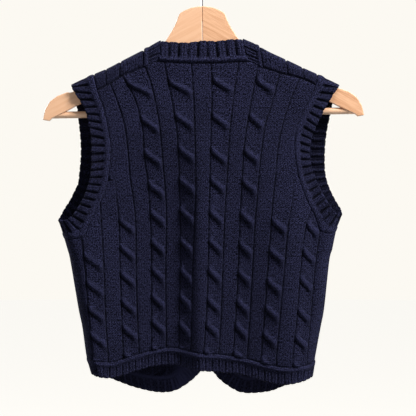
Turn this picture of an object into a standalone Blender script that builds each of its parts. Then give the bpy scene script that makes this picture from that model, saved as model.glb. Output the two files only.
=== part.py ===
"""Sweater vest on a wooden hanger. The garment's front faces -Y and its back faces +Y.

The hang point, the inner top of the hook, is the origin. The cloth is one flattened tube of
knitted wall, cut along its seams into the pieces a knitter makes: a point of the cloth is given
by its place (x, z) seen from the back, and by the side it is on.
"""

import math

import bmesh
import bpy
import numpy as np
from mathutils import Matrix, Vector

MM = 0.001

# --- driving dimensions, in millimetres -------------------------------------------------
WALL = 3.0  # thickness of the knitted cloth
SEAM_GAP = 0.4  # between two pieces at a seam, of which facets take up to 0.1
LAP_GAP = 0.5  # between the lapped front bands
DEPTH_RIDGE = 11.6  # half the depth of the garment just under the shoulder ridge
DEPTH_BODY = 17.0  # half the depth of the garment at the chest and below
FILL_DROP = 150.0  # distance below the ridge where the full depth is reached
ROUND_TOP = 9.0  # height over which the cloth rounds over the hanger
ROUND_SIDE = 30.0  # width over which the cloth rounds at a side seam
FOLD_START = -230.0  # height where the hanging folds begin
FOLD_FULL = -400.0  # height where they have their full swell

LAP_CENTRE = -6.6  # x of the line where the fronts button
BUTTON_HEIGHTS = (-380.0, -419.0, -458.0, -497.0, -536.0)
BUTTON_RADIUS = 8.0
BUTTON_THICK = 3.0
BUTTON_EDGE = 0.8  # bevel of the rim
BUTTON_RIM = 2.2  # from the outside of the rim to where it slopes down to the dished face
BUTTON_DISH = 0.9  # depth of the dished face
BUTTON_STEPS = 20

HANGER_THICK = 12.0
HANGER_TILT = math.radians(0.85)  # the wearer's right end hangs a little higher
EDGE_ROUND = 1.8
BAR_RADIUS = 4.7
BAR_HALF = 209.0
BAR_HEIGHT = -231.6
BAR_SOCKET = 0.3  # clearance round the bar and the hook in their sockets
WIRE_RADIUS = 1.5
HOOK_INNER = 20.0  # inner radius of the hook's bend
HOOK_ARC = (-25.0, 215.0)  # degrees of the bend, from the tip over the rail and back under it
HOOK_STEPS = 26
HOOK_NECK = ((-12.6, -41.2), (-7.2, -45.6), (-2.8, -50.6), (-0.6, -56.4), (0.0, -63.0))
HOOK_STEM_FOOT = -106.0
SOCKET_FOOT = -110.0
BORE_OVERRUN = 5.0  # how far the cutter of the hook's socket stands out of the wood

# Shoulder ridge, where the cloth is highest over the hanger (x, z), wearer's left to right.
RIDGE = (
    (260.0, -234.0),
    (178.0, -193.0),
    (162.0, -185.5),
    (147.0, -178.5),
    (126.0, -169.5),
    (108.0, -160.0),
    (79.0, -145.0),
    (56.0, -132.0),
    (0.0, -101.0),
    (-58.0, -130.0),
    (-76.0, -138.0),
    (-94.0, -148.0),
    (-118.0, -159.0),
    (-141.0, -170.0),
    (-160.0, -178.5),
    (-190.0, -193.0),
    (-260.0, -226.0),
)

# Half-widths of the silhouette below the underarms: z, wearer's left, wearer's right.
SIDES = (
    (-650.0, 134.0, 141.0),
    (-590.0, 151.0, 154.5),
    (-567.0, 157.5, 157.5),
    (-526.0, 163.5, 165.0),
    (-499.0, 169.0, 170.0),
    (-435.0, 180.0, 177.0),
    (-419.0, 184.0, 181.0),
    (-402.0, 189.0, 184.5),
    (-387.0, 193.0, 188.0),
    (-379.0, 197.0, 191.0),
    (-371.0, 205.0, 195.0),
    (-300.0, 276.0, 266.0),
)

# Armhole bands by stations from the underarm up to the shoulder ridge:
# seam x, seam z, free edge x, free edge z.
ARM_LEFT_BACK = (
    (188.0, -405.0, 197.0, -379.0),
    (175.0, -405.0, 190.0, -379.6),
    (160.0, -401.0, 183.0, -378.0),
    (152.0, -384.0, 175.0, -372.0),
    (145.0, -368.0, 167.0, -360.0),
    (135.0, -350.0, 159.0, -345.0),
    (128.0, -330.0, 153.0, -328.0),
    (125.0, -308.0, 150.0, -312.0),
    (123.0, -282.0, 149.0, -283.0),
    (125.0, -264.0, 151.0, -258.0),
    (129.0, -243.0, 155.0, -240.0),
    (134.0, -223.0, 160.0, -225.0),
    (142.0, -201.0, 176.0, -199.0),
    (147.0, -178.5, 178.0, -193.0),
)
ARM_LEFT_FRONT = (
    (188.0, -405.0, 197.0, -379.0),
    (180.0, -393.0, 193.5, -372.0),
    (171.0, -381.0, 188.0, -362.0),
    (162.0, -366.0, 182.0, -353.0),
    (154.0, -351.0, 175.0, -339.0),
    (147.0, -336.0, 170.0, -328.0),
    (142.0, -321.0, 167.0, -316.0),
    (139.0, -305.0, 164.5, -302.0),
    (137.0, -286.0, 163.5, -286.0),
    (138.0, -267.0, 164.0, -267.0),
    (140.0, -246.0, 166.0, -246.0),
    (143.0, -220.0, 169.0, -221.0),
    (145.5, -187.5, 175.0, -203.0),
    (147.0, -178.5, 178.0, -193.0),
)
ARM_RIGHT_BACK = (
    (-185.0, -396.0, -195.0, -371.0),
    (-175.0, -397.0, -189.0, -371.6),
    (-163.0, -393.0, -184.0, -369.0),
    (-156.0, -375.0, -177.0, -360.0),
    (-147.0, -357.0, -166.0, -342.0),
    (-137.0, -332.0, -157.0, -323.0),
    (-131.0, -308.0, -151.0, -305.0),
    (-128.0, -282.0, -149.0, -287.0),
    (-130.0, -257.0, -151.0, -267.0),
    (-137.0, -238.0, -157.0, -252.0),
    (-144.0, -222.0, -166.0, -233.0),
    (-151.0, -207.0, -178.0, -212.0),
    (-157.0, -194.0, -187.5, -197.5),
    (-160.0, -178.5, -190.0, -193.0),
)
ARM_RIGHT_FRONT = (
    (-185.0, -396.0, -195.0, -371.0),
    (-179.0, -388.0, -193.5, -364.0),
    (-173.0, -380.0, -190.0, -358.5),
    (-165.0, -365.0, -184.0, -349.0),
    (-158.0, -349.0, -178.0, -339.0),
    (-150.0, -332.0, -172.0, -326.0),
    (-145.0, -313.0, -168.5, -311.0),
    (-143.0, -291.0, -167.5, -290.0),
    (-144.0, -271.0, -168.5, -271.0),
    (-146.0, -250.0, -171.0, -252.0),
    (-150.0, -231.0, -175.0, -233.0),
    (-153.0, -212.0, -179.5, -215.0),
    (-158.5, -187.5, -187.0, -202.0),
    (-160.0, -178.5, -190.0, -193.0),
)

# Front bands by stations from the side seam round the rounded corner, up the front edge and
# the V neck to the shoulder: seam x, seam z, free edge x, free edge z. The last three are the
# foot of the shoulder on the front, the ridge, and the shoulder seam on the back.
BAND_LEFT = (
    (157.5, -567.0, 151.0, -590.0),
    (142.0, -568.5, 138.0, -592.0),
    (127.0, -573.0, 123.0, -597.0),
    (101.0, -583.0, 95.0, -606.0),
    (70.0, -588.5, 67.0, -612.0),
    (50.0, -589.0, 49.0, -613.0),
    (41.0, -587.0, 35.0, -610.0),
    (34.0, -582.0, 21.0, -602.0),
    (23.0, -573.0, 6.0, -590.0),
    (16.0, -563.5, -4.0, -577.0),
    (10.5, -551.0, -12.0, -559.0),
    (7.8, -536.0, -16.0, -540.0),
    (7.0, -513.0, -17.0, -515.0),
    (7.0, -440.0, -17.0, -440.0),
    (7.0, -370.0, -17.0, -372.0),
    (10.0, -338.0, -13.0, -345.0),
    (33.0, -267.0, 10.0, -274.0),
    (58.0, -190.0, 35.0, -197.0),
    (78.0, -153.5, 54.0, -140.0),
    (79.0, -145.0, 56.0, -132.0),
    (79.0, -169.0, 57.0, -161.0),
)
BAND_RIGHT = (
    (-157.5, -571.0, -154.0, -594.0),
    (-141.0, -578.0, -138.0, -601.0),
    (-117.0, -584.0, -114.0, -607.0),
    (-99.0, -588.5, -96.0, -612.0),
    (-73.0, -590.0, -72.0, -614.0),
    (-62.0, -589.5, -56.0, -613.0),
    (-54.0, -586.0, -44.0, -608.0),
    (-43.0, -578.0, -28.0, -597.0),
    (-35.0, -569.0, -18.0, -586.0),
    (-27.0, -559.0, -8.0, -573.0),
    (-24.0, -548.0, -2.0, -556.0),
    (-21.0, -535.0, 3.0, -540.0),
    (-20.0, -513.0, 4.0, -515.0),
    (-20.0, -440.0, 4.0, -440.0),
    (-20.0, -370.0, 4.0, -372.0),
    (-22.0, -339.0, 1.0, -345.0),
    (-41.0, -267.0, -18.0, -274.0),
    (-61.0, -195.0, -38.0, -202.0),
    (-80.0, -149.3, -56.5, -138.0),
    (-81.0, -140.6, -58.0, -130.0),
    (-85.0, -170.0, -64.0, -162.0),
)
BAND_CORNER = 7  # station of the rounded corner in both tables

# Shoulder seams on the back, from the armhole band to the front band.
SHOULDER_LEFT = (
    (142.0, -201.0),
    (132.0, -195.5),
    (120.0, -189.0),
    (107.0, -180.5),
    (93.0, -175.0),
    (79.0, -169.0),
)
SHOULDER_RIGHT = (
    (-157.0, -194.0),
    (-145.0, -187.5),
    (-130.0, -182.5),
    (-114.0, -179.0),
    (-99.0, -174.5),
    (-85.0, -170.0),
)

# Neckband on the back: seam x, seam z, top x, top z.
NECK = (
    (57.0, -161.0, 55.5, -133.5),
    (42.0, -162.5, 42.0, -135.0),
    (20.0, -163.5, 19.0, -136.0),
    (-3.0, -164.0, -3.0, -133.5),
    (-25.0, -163.5, -21.0, -134.0),
    (-46.0, -162.0, -42.0, -131.5),
    (-64.0, -162.0, -57.5, -131.5),
)

# Hem band on the back: seam x, seam z, free edge x, free edge z.
HEM = (
    (157.5, -567.0, 151.0, -590.0),
    (145.0, -571.0, 141.0, -593.5),
    (123.0, -573.0, 123.0, -595.0),
    (102.0, -567.0, 102.0, -590.0),
    (74.0, -559.0, 74.0, -581.0),
    (49.0, -554.0, 49.0, -577.0),
    (32.0, -554.0, 32.0, -578.0),
    (6.0, -560.0, 6.0, -584.0),
    (-26.0, -562.0, -26.0, -586.5),
    (-58.0, -567.0, -58.0, -590.0),
    (-86.0, -574.0, -86.0, -598.0),
    (-114.0, -579.0, -114.0, -603.0),
    (-142.0, -577.0, -139.0, -599.0),
    (-157.5, -571.0, -154.0, -594.0),
)

# Swell of the hanging folds across the cloth at the hem: x, back, front.
FOLDS = (
    (200.0, 0.0, 0.0),
    (150.0, 0.0, 0.0),
    (118.0, 1.6, 2.6),
    (95.0, 1.4, 3.2),
    (70.0, -0.4, 0.0),
    (42.0, -3.0, -2.6),
    (24.0, -4.4, -1.0),
    (13.0, -2.4, 0.0),
    (4.0, 2.6, 0.6),
    (-4.0, 4.2, 0.8),
    (-16.0, 3.2, 0.6),
    (-36.0, 0.4, -1.6),
    (-60.0, -2.6, -3.4),
    (-84.0, -2.8, -1.0),
    (-106.0, 1.6, 2.4),
    (-120.0, 3.4, 2.6),
    (-140.0, 1.6, 0.8),
    (-156.0, 0.0, 0.0),
    (-200.0, 0.0, 0.0),
)

# Half outline of the hanger in its own upright frame (x, z): neck, arm, end, underside.
HANGER_OUTLINE = (
    (15.0, -87.2),
    (24.4, -91.0),
    (30.0, -94.4),
    (32.0, -97.4),
    (33.8, -102.5),
    (36.4, -108.8),
    (40.4, -116.4),
    (45.4, -124.4),
    (49.6, -131.0),
    (54.5, -138.0),
    (62.0, -142.2),
    (81.5, -151.2),
    (110.0, -164.8),
    (141.0, -179.2),
    (160.0, -188.8),
    (172.0, -194.4),
    (175.5, -197.0),
    (179.0, -200.4),
    (183.0, -201.2),
    (186.5, -200.6),
    (190.5, -202.0),
    (200.5, -205.7),
    (210.5, -213.0),
    (217.5, -224.4),
    (220.6, -238.0),
    (212.0, -239.5),
    (207.5, -235.6),
    (190.8, -227.9),
    (175.7, -220.1),
    (141.0, -203.5),
    (110.0, -190.5),
    (80.0, -179.5),
    (50.0, -171.0),
    (20.0, -166.0),
)
HANGER_TOP = -85.0
HANGER_UNDER = -164.5

# How the pieces are divided. Under an armhole band the columns stand closer towards the side.
ARM_ROWS = 14  # along an armhole band, from the underarm to the shoulder seam or foot
UNDER_BAND = 5  # of those, the ones that run under the arm
LOWER_ROWS = 7  # from the hem band up to the underarm
SHOULDER_COLUMNS = 5
NECK_COLUMNS = 8
SIDE_COLUMNS = (0.0, 1.0, 4.2, 9.5, 18.0, 29.0)  # distance from the side seam at the hem
WRAP_FRONT = (4.5, 1.2)  # drops below the ridge where the cloth wraps over the shoulder
WRAP_BACK = (1.2, 4.5, 9.0, 15.5)
NECKBAND_ROWS = (0.0, 0.47, 0.73, 0.89, 1.0)
BAND_ROWS = (0.0, 0.5, 1.0)
ROW_CROWDING = 1.35  # rows of a front stand closer together at its rounded corner
BACK_SHARE = 0.31  # share of the back's width under each shoulder
LAP_FADE = (50.0, 8.0)  # x where the left front starts to lie under the right, and is fully under
SLOPE_STEP = 0.4  # distance over which the slope of the cloth is measured

NAVY = (0.021, 0.023, 0.065, 1.0)
WOOD = (0.85, 0.58, 0.36, 1.0)
STEEL = (0.62, 0.62, 0.64, 1.0)
NAVY_BUTTON = (0.012, 0.014, 0.04, 1.0)


# --- curves through the tables ----------------------------------------------------------
def smooth(value):
    value = min(max(value, 0.0), 1.0)
    return value * value * (3.0 - 2.0 * value)


def station(table, place):
    """The row at a place between stations, on a smooth curve through all of them."""
    rows = np.array(table)
    last = len(rows) - 1
    place = min(max(place, 0.0), float(last))
    first = min(int(place), last - 1)
    part = place - first
    a = rows[max(first - 1, 0)]
    b = rows[first]
    c = rows[first + 1]
    d = rows[min(first + 2, last)]
    along = (c - a) * 0.5
    after = (d - b) * 0.5
    square = part * part
    cube = square * part
    return (
        b * (2 * cube - 3 * square + 1)
        + along * (cube - 2 * square + part)
        + c * (3 * square - 2 * cube)
        + after * (cube - square)
    )


def dense(table, count=400):
    last = len(table) - 1
    return np.array([station(table, last * i / count) for i in range(count + 1)])


RIDGE_LINE = dense(RIDGE)[::-1]
SIDE_LINE = dense(SIDES)
FOLD_LINE = dense(FOLDS)[::-1]


def ridge_height(x):
    return float(np.interp(x, RIDGE_LINE[:, 0], RIDGE_LINE[:, 1]))


def side_x(z, wearer_left):
    column = 1 if wearer_left else 2
    return float(np.interp(z, SIDE_LINE[:, 0], SIDE_LINE[:, column]))


# --- the garment's surface --------------------------------------------------------------
def rounding(value):
    return 1.0 - (1.0 - min(value, 1.0)) ** 2


def depth_squared(x, z):
    """Square of the half-depth: it falls to nothing at the shoulder ridge and the side seams."""
    drop = ridge_height(x) - z
    inset = side_x(z, x > 0) - abs(x)
    depth = DEPTH_RIDGE + (DEPTH_BODY - DEPTH_RIDGE) * smooth(drop / FILL_DROP)
    return depth**2 * rounding(drop / ROUND_TOP) * rounding(inset / ROUND_SIDE)


def fold_swell(x, z, side):
    column = 1 if side > 0 else 2
    swell = float(np.interp(x, FOLD_LINE[:, 0], FOLD_LINE[:, column]))
    inset = max(side_x(z, x > 0) - abs(x), 0.0)
    return swell * smooth(inset / ROUND_SIDE) * smooth((FOLD_START - z) / (FOLD_START - FOLD_FULL))


def cloth_point(x, z, side, lift=0.0):
    """Outer and inner point of the cloth wall; side is +1 back, -1 front, 0 on a fold line."""
    step = SLOPE_STEP
    half = math.sqrt(max(depth_squared(x, z), 0.0))
    slope_x = (depth_squared(x + step, z) - depth_squared(x - step, z)) / (2 * step)
    slope_z = (depth_squared(x, z + step) - depth_squared(x, z - step)) / (2 * step)
    swell = fold_swell(x, z, side) * side
    swell_x = (fold_swell(x + step, z, side) - fold_swell(x - step, z, side)) / (2 * step)
    y = side * max(half + swell * side, SEAM_GAP / 2)
    across = 2 * side * half
    normal = Vector((-slope_x - across * side * swell_x, across, -slope_z)).normalized()
    outer = Vector((x, y, z)) + normal * float(lift)
    return outer, outer - WALL * normal


def under_lap(x):
    """How far the left front lies under the right one near the middle."""
    start, full = LAP_FADE
    return -(WALL + LAP_GAP) * smooth((start - x) / (start - full))


# --- sample points along the seams, shared by the pieces on both sides ------------------
# A sample holds four numbers: seam x and z, then x and z across the band from it.
def eased(count):
    """Places from 0 to 1, closest together near 0, where the cloth turns round a fold."""
    return [1.0 - math.cos(0.5 * math.pi * i / count) for i in range(count + 1)]


def blend(a, b, share):
    return a + (b - a) * share


def resample(rows, fractions):
    """Points on a polyline at fractions of its length in its first two columns."""
    rows = np.array(rows)
    steps = np.linalg.norm(np.diff(rows[:, :2], axis=0), axis=1)
    length = np.concatenate([[0.0], np.cumsum(steps)])
    wanted = np.array(fractions) * length[-1]
    return [np.array([np.interp(w, length, rows[:, c]) for c in range(rows.shape[1])]) for w in wanted]


def stretch(table, first, last, count=200):
    """The smooth curve between two stations of a table."""
    return [station(table, blend(first, last, i / count)) for i in range(count + 1)]


def even(count):
    return [i / count for i in range(count + 1)]


def at_drop(top, foot, drop):
    """The point between a sample on the ridge and its foot, at a drop below the ridge."""
    foot_drop = ridge_height(foot[0]) - foot[1]
    return blend(np.array(top), np.array(foot), drop / foot_drop)


def at_both_drops(top, foot, drop):
    """As at_drop, with the seam and the free edge each at that drop."""
    top = np.array(top)
    foot = np.array(foot)
    return np.concatenate([at_drop(top[:2], foot[:2], drop), at_drop(top[2:], foot[2:], drop)])


def arm_samples(table):
    """Samples from the underarm fold to the last station below the ridge."""
    last = len(table) - 2
    return [station(table, last * place) for place in eased(ARM_ROWS)]


def arm_wrap(table, drops):
    return [at_drop(table[-1], table[-2], drop) for drop in drops]


def side_fractions(line):
    """Fractions for the columns close to the side seam, on a line that starts at it."""
    points = np.array(line)[:, 0:2]
    length = np.linalg.norm(np.diff(points, axis=0), axis=1).sum()
    return [float(distance / length) for distance in SIDE_COLUMNS]


def band_bottom(table):
    line = stretch(table, 0, BAND_CORNER)
    near = side_fractions(line)
    rest = [blend(near[-1], 1.0, part) for part in even(SHOULDER_COLUMNS)]
    return resample(line, near + rest[1:])


def band_up(table):
    line = stretch(table, BAND_CORNER, len(table) - 3)
    rows = LOWER_ROWS + ARM_ROWS - UNDER_BAND
    return resample(line, [part**ROW_CROWDING for part in even(rows)])


def band_wrap_front(table):
    return [at_both_drops(table[-2], table[-3], drop) for drop in WRAP_FRONT]


def band_wrap_back(table):
    return [at_both_drops(table[-2], table[-1], drop) for drop in WRAP_BACK]


def back_columns():
    near = side_fractions(dense(HEM))
    left = [blend(near[-1], BACK_SHARE, part) for part in even(SHOULDER_COLUMNS)]
    middle = [blend(BACK_SHARE, 1 - BACK_SHARE, part) for part in even(NECK_COLUMNS)]
    half = near + left[1:]
    return half + middle[1:-1] + [1 - place for place in reversed(half)]


def off_seam(sample, towards_band):
    """The seam point of a sample, moved half a seam gap into the band or into the panel."""
    away = sample[2:4] - sample[0:2]
    away = away / np.linalg.norm(away)
    return sample[0:2] + away * (SEAM_GAP / 2 if towards_band else -SEAM_GAP / 2)


# --- patches of cloth: rows of nodes (x, z, side, lift) ---------------------------------
def coons(left, right, bottom, top, across):
    """Rows of points between four edges; across holds the columns' fractions."""
    rows = []
    last = len(left) - 1
    for k in range(last + 1):
        v = k / last
        row = []
        for j, u in enumerate(across):
            edges = blend(left[k], right[k], u) + blend(bottom[j], top[j], v)
            corners = blend(blend(left[0], right[0], u), blend(left[-1], right[-1], u), v)
            row.append(edges - corners)
        rows.append(row)
    return rows


def fractions_along(points):
    steps = [float(np.linalg.norm(b - a)) for a, b in zip(points, points[1:])]
    total = sum(steps)
    return [sum(steps[:j]) / total for j in range(len(points))]


def on_side(rows, side, lift=None):
    return [[(p[0], p[1], side, lift(p[0]) if lift else 0.0) for p in row] for row in rows]


def side_points(wearer_left, foot, top):
    """Points up a side seam, from the hem band to the armhole band."""
    sign = 1 if wearer_left else -1
    heights = [blend(foot, top, part) for part in even(LOWER_ROWS)]
    return [np.array([sign * side_x(z, wearer_left), z]) for z in heights]


# --- building the meshes ----------------------------------------------------------------
def material(name, colour, roughness, metallic=0.0):
    made = bpy.data.materials.new(name)
    made.use_nodes = True
    shader = made.node_tree.nodes["Principled BSDF"]
    shader.inputs["Base Color"].default_value = colour
    shader.inputs["Roughness"].default_value = roughness
    shader.inputs["Metallic"].default_value = metallic
    return made


def cloth_piece(name, patches, finish):
    """A wall of cloth: grids laid on the garment's surface, joined, then given their thickness."""
    mesh = bmesh.new()
    inner = mesh.verts.layers.float_vector.new("inner")
    for rows in patches:
        wide = len(rows[0]) - 1
        high = len(rows) - 1
        grid = bmesh.ops.create_grid(mesh, x_segments=wide, y_segments=high, size=1.0)
        for vert in grid["verts"]:
            j = round((vert.co.x + 1) / 2 * wide)
            k = round((vert.co.y + 1) / 2 * high)
            outside, inside = cloth_point(*rows[k][j])
            vert.co = outside * MM
            vert[inner] = inside * MM
    bmesh.ops.remove_doubles(mesh, verts=mesh.verts, dist=0.00002)
    walls = bmesh.ops.extrude_face_region(mesh, geom=mesh.faces[:], use_keep_orig=True)
    for element in walls["geom"]:
        if isinstance(element, bmesh.types.BMVert):
            element.co = element[inner]
    bmesh.ops.recalc_face_normals(mesh, faces=mesh.faces)
    mesh.verts.layers.float_vector.remove(inner)
    return finish_piece(name, mesh, finish)


def finish_piece(name, mesh, finish, collection=None):
    data = bpy.data.meshes.new(name)
    mesh.to_mesh(data)
    mesh.free()
    data.shade_smooth()
    data.set_sharp_from_angle(angle=math.radians(40))
    data.materials.append(finish)
    made = bpy.data.objects.new(name, data)
    (collection or vest).objects.link(made)
    return made


# --- the pieces -------------------------------------------------------------------------
def back_panel(finish):
    left_arm = arm_samples(ARM_LEFT_BACK)
    right_arm = arm_samples(ARM_RIGHT_BACK)
    left = [off_seam(s, False) for s in left_arm]
    right = [off_seam(s, False) for s in right_arm]
    fractions = back_columns()
    hem = [off_seam(s, False) for s in resample(dense(HEM), fractions)]
    inner = fractions[UNDER_BAND : len(fractions) - UNDER_BAND]
    shares = [(f - inner[0]) / (inner[-1] - inner[0]) for f in inner]
    chest = [blend(left[UNDER_BAND], right[UNDER_BAND], share) for share in shares]
    top_of_lower = left[:UNDER_BAND] + chest + right[:UNDER_BAND][::-1]
    across = fractions_along(hem)
    left_side = side_points(True, hem[0][1], left[0][1])
    right_side = side_points(False, hem[-1][1], right[0][1])
    lower = coons(left_side, right_side, hem, top_of_lower, across)
    down = np.array([0.0, -SEAM_GAP / 2])
    shoulder_left = [p + down for p in resample(dense(SHOULDER_LEFT), even(SHOULDER_COLUMNS))]
    shoulder_right = [p + down for p in resample(dense(SHOULDER_RIGHT), even(SHOULDER_COLUMNS))]
    neck = [s[0:2] + down for s in resample(dense(NECK), even(NECK_COLUMNS))]
    shoulder_left[0] = left[-1]
    shoulder_right[0] = right[-1]
    top = shoulder_left + neck[1:-1] + shoulder_right[::-1]
    left_up = left[UNDER_BAND:]
    right_up = right[UNDER_BAND:]
    upper = coons(left_up, right_up, chest, top, fractions_along(chest))
    return cloth_piece("back_panel", [on_side(lower, 1), on_side(upper, 1)], finish)


def back_hem_band(finish):
    samples = resample(dense(HEM), back_columns())
    seam = [off_seam(s, True) for s in samples]
    edge = [s[2:4] for s in samples]
    rows = [[blend(a, b, part) for a, b in zip(seam, edge)] for part in BAND_ROWS]
    return cloth_piece("back_hem_band", [on_side(rows, 1)], finish)


def back_neckband(finish):
    samples = resample(dense(NECK), even(NECK_COLUMNS))
    seam = [off_seam(s, True) for s in samples]
    edge = [s[2:4] for s in samples]
    gap = np.array([SEAM_GAP, 0.0])
    for line in (seam, edge):
        line[0] = line[0] - gap
        line[-1] = line[-1] + gap
    rows = [[blend(a, b, part) for a, b in zip(seam, edge)] for part in NECKBAND_ROWS]
    return cloth_piece("back_neckband", [on_side(rows, 1)], finish)


def front_panel(name, arm_front, arm_back, band, shoulder, wearer_left, finish):
    lift = under_lap if wearer_left else None
    arm = [off_seam(s, False) for s in arm_samples(arm_front)]
    bottom = [off_seam(s, False) for s in band_bottom(band)]
    inner = [off_seam(s, False) for s in band_up(band)]
    side = side_points(wearer_left, bottom[0][1], arm[0][1])
    corner = arm[UNDER_BAND]
    centre = inner[LOWER_ROWS]
    shares = even(SHOULDER_COLUMNS)
    chest = [blend(corner, centre, share) for share in shares]
    across = fractions_along(bottom)
    lower = coons(side, inner[: LOWER_ROWS + 1], bottom, arm[:UNDER_BAND] + chest, across)
    foot = [blend(arm[-1], inner[-1], share) for share in shares]
    first_drop = ridge_height(foot[0][0]) - foot[0][1]
    last_drop = ridge_height(foot[-1][0]) - foot[-1][1]
    for point, share in zip(foot, shares):
        point[1] = ridge_height(point[0]) - blend(first_drop, last_drop, share)
    upper = coons(arm[UNDER_BAND:], inner[LOWER_ROWS:], chest, foot, shares)

    outer_front = [off_seam(s, False) for s in arm_wrap(arm_front, WRAP_FRONT)]
    outer_back = [off_seam(s, False) for s in arm_wrap(arm_back, WRAP_BACK)]
    inner_front = [off_seam(s, False) for s in band_wrap_front(band)]
    inner_back = [off_seam(s, False) for s in band_wrap_back(band)]
    outer_top = off_seam(np.array(arm_back[-1]), False)
    inner_top = off_seam(np.array(band[-2]), False)
    wrap = [[(p[0], p[1], -1, 0.0) for p in foot]]

    def wrap_row(outer, inside, drop, on):
        places = [blend(outer[0], inside[0], share) for share in shares]
        return [(x, ridge_height(x) - drop, on, 0.0) for x in places]

    for outer, inside, drop in zip(outer_front, inner_front, WRAP_FRONT):
        wrap.append(wrap_row(outer, inside, drop, -1))
    wrap.append(wrap_row(outer_top, inner_top, 0.0, 0))
    for outer, inside, drop in zip(outer_back, inner_back, WRAP_BACK):
        wrap.append(wrap_row(outer, inside, drop, 1))
    seam = resample(dense(shoulder), shares)
    seam[0] = off_seam(np.array(arm_back[-2]), False)
    seam[-1] = off_seam(np.array(band[-1]), False)
    wrap.append([(p[0], p[1] + SEAM_GAP / 2, 1, 0.0) for p in seam])
    patches = [on_side(lower, -1, lift), on_side(upper, -1, lift), wrap]
    return cloth_piece(name, patches, finish)


def front_band(name, band, wearer_left, finish):
    lift = under_lap if wearer_left else None
    samples = band_bottom(band) + band_up(band)[1:] + band_wrap_front(band)
    sides = [-1] * len(samples)
    samples += [np.array(band[-2])] + band_wrap_back(band) + [np.array(band[-1])]
    sides += [0] + [1] * (len(WRAP_BACK) + 1)
    rows = []
    for part in BAND_ROWS:
        row = []
        for sample, side in zip(samples, sides):
            point = blend(off_seam(sample, True), sample[2:4], part)
            row.append((point[0], point[1], side, lift(point[0]) if lift and side < 0 else 0.0))
        rows.append(row)
    return cloth_piece(name, [rows], finish)


def armhole_band(name, back, front, finish):
    """A closed ring: up the back from the underarm fold, over the ridge and down the front."""
    up = arm_samples(back)
    down = arm_samples(front)[::-1]
    samples = up + arm_wrap(back, WRAP_BACK[::-1]) + [np.array(back[-1])]
    sides = [0] + [1] * (len(up) - 1 + len(WRAP_BACK)) + [0]
    samples += arm_wrap(front, WRAP_FRONT[::-1]) + down
    sides += [-1] * (len(WRAP_FRONT) + len(down) - 1) + [0]
    rows = []
    for part in BAND_ROWS:
        points = [blend(off_seam(s, True), s[2:4], part) for s in samples]
        rows.append([(p[0], p[1], side, 0.0) for p, side in zip(points, sides)])
    return cloth_piece(name, [rows], finish)


def button(name, height, finish):
    """A plain turned button with a raised rim, flat against the lapped band."""
    face = BUTTON_THICK - BUTTON_DISH
    profile = (
        (0.0, 0.0),
        (BUTTON_RADIUS - BUTTON_EDGE, 0.0),
        (BUTTON_RADIUS, BUTTON_EDGE),
        (BUTTON_RADIUS, BUTTON_THICK - BUTTON_EDGE),
        (BUTTON_RADIUS - BUTTON_EDGE, BUTTON_THICK),
        (BUTTON_RADIUS - BUTTON_RIM, BUTTON_THICK),
        (BUTTON_RADIUS - BUTTON_RIM - BUTTON_DISH, face),
        (0.0, face),
    )
    mesh = bmesh.new()
    verts = [mesh.verts.new((r * MM, 0.0, h * MM)) for r, h in profile]
    edges = [mesh.edges.new(pair) for pair in zip(verts, verts[1:])]
    bmesh.ops.spin(
        mesh,
        geom=verts + edges,
        cent=(0, 0, 0),
        axis=(0, 0, 1),
        angle=2 * math.pi,
        steps=BUTTON_STEPS,
        use_merge=True,
    )
    bmesh.ops.remove_doubles(mesh, verts=mesh.verts, dist=0.00002)
    bmesh.ops.recalc_face_normals(mesh, faces=mesh.faces)
    made = finish_piece(name, mesh, finish)
    reach = max(
        abs(cloth_point(LAP_CENTRE + dx, height + dz, -1)[0].y)
        for dx in (-BUTTON_RADIUS, 0.0, BUTTON_RADIUS)
        for dz in (-BUTTON_RADIUS, 0.0, BUTTON_RADIUS)
    )
    made.rotation_euler = (math.radians(90), 0, 0)
    made.location = (LAP_CENTRE * MM, -(reach + SEAM_GAP) * MM, height * MM)
    return made


# --- the hanger -------------------------------------------------------------------------
def bar_of(name, radius, start, end, finish, collection=None):
    """A straight round bar between two points, in millimetres."""
    start = Vector(start)
    end = Vector(end)
    mesh = bmesh.new()
    bmesh.ops.create_cone(
        mesh,
        cap_ends=True,
        segments=24,
        radius1=radius * MM,
        radius2=radius * MM,
        depth=(end - start).length * MM,
    )
    turn = (end - start).to_track_quat("Z", "Y").to_matrix().to_4x4()
    mesh.transform(Matrix.Translation((start + end) / 2 * MM) @ turn)
    return finish_piece(name, mesh, finish, collection)


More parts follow.
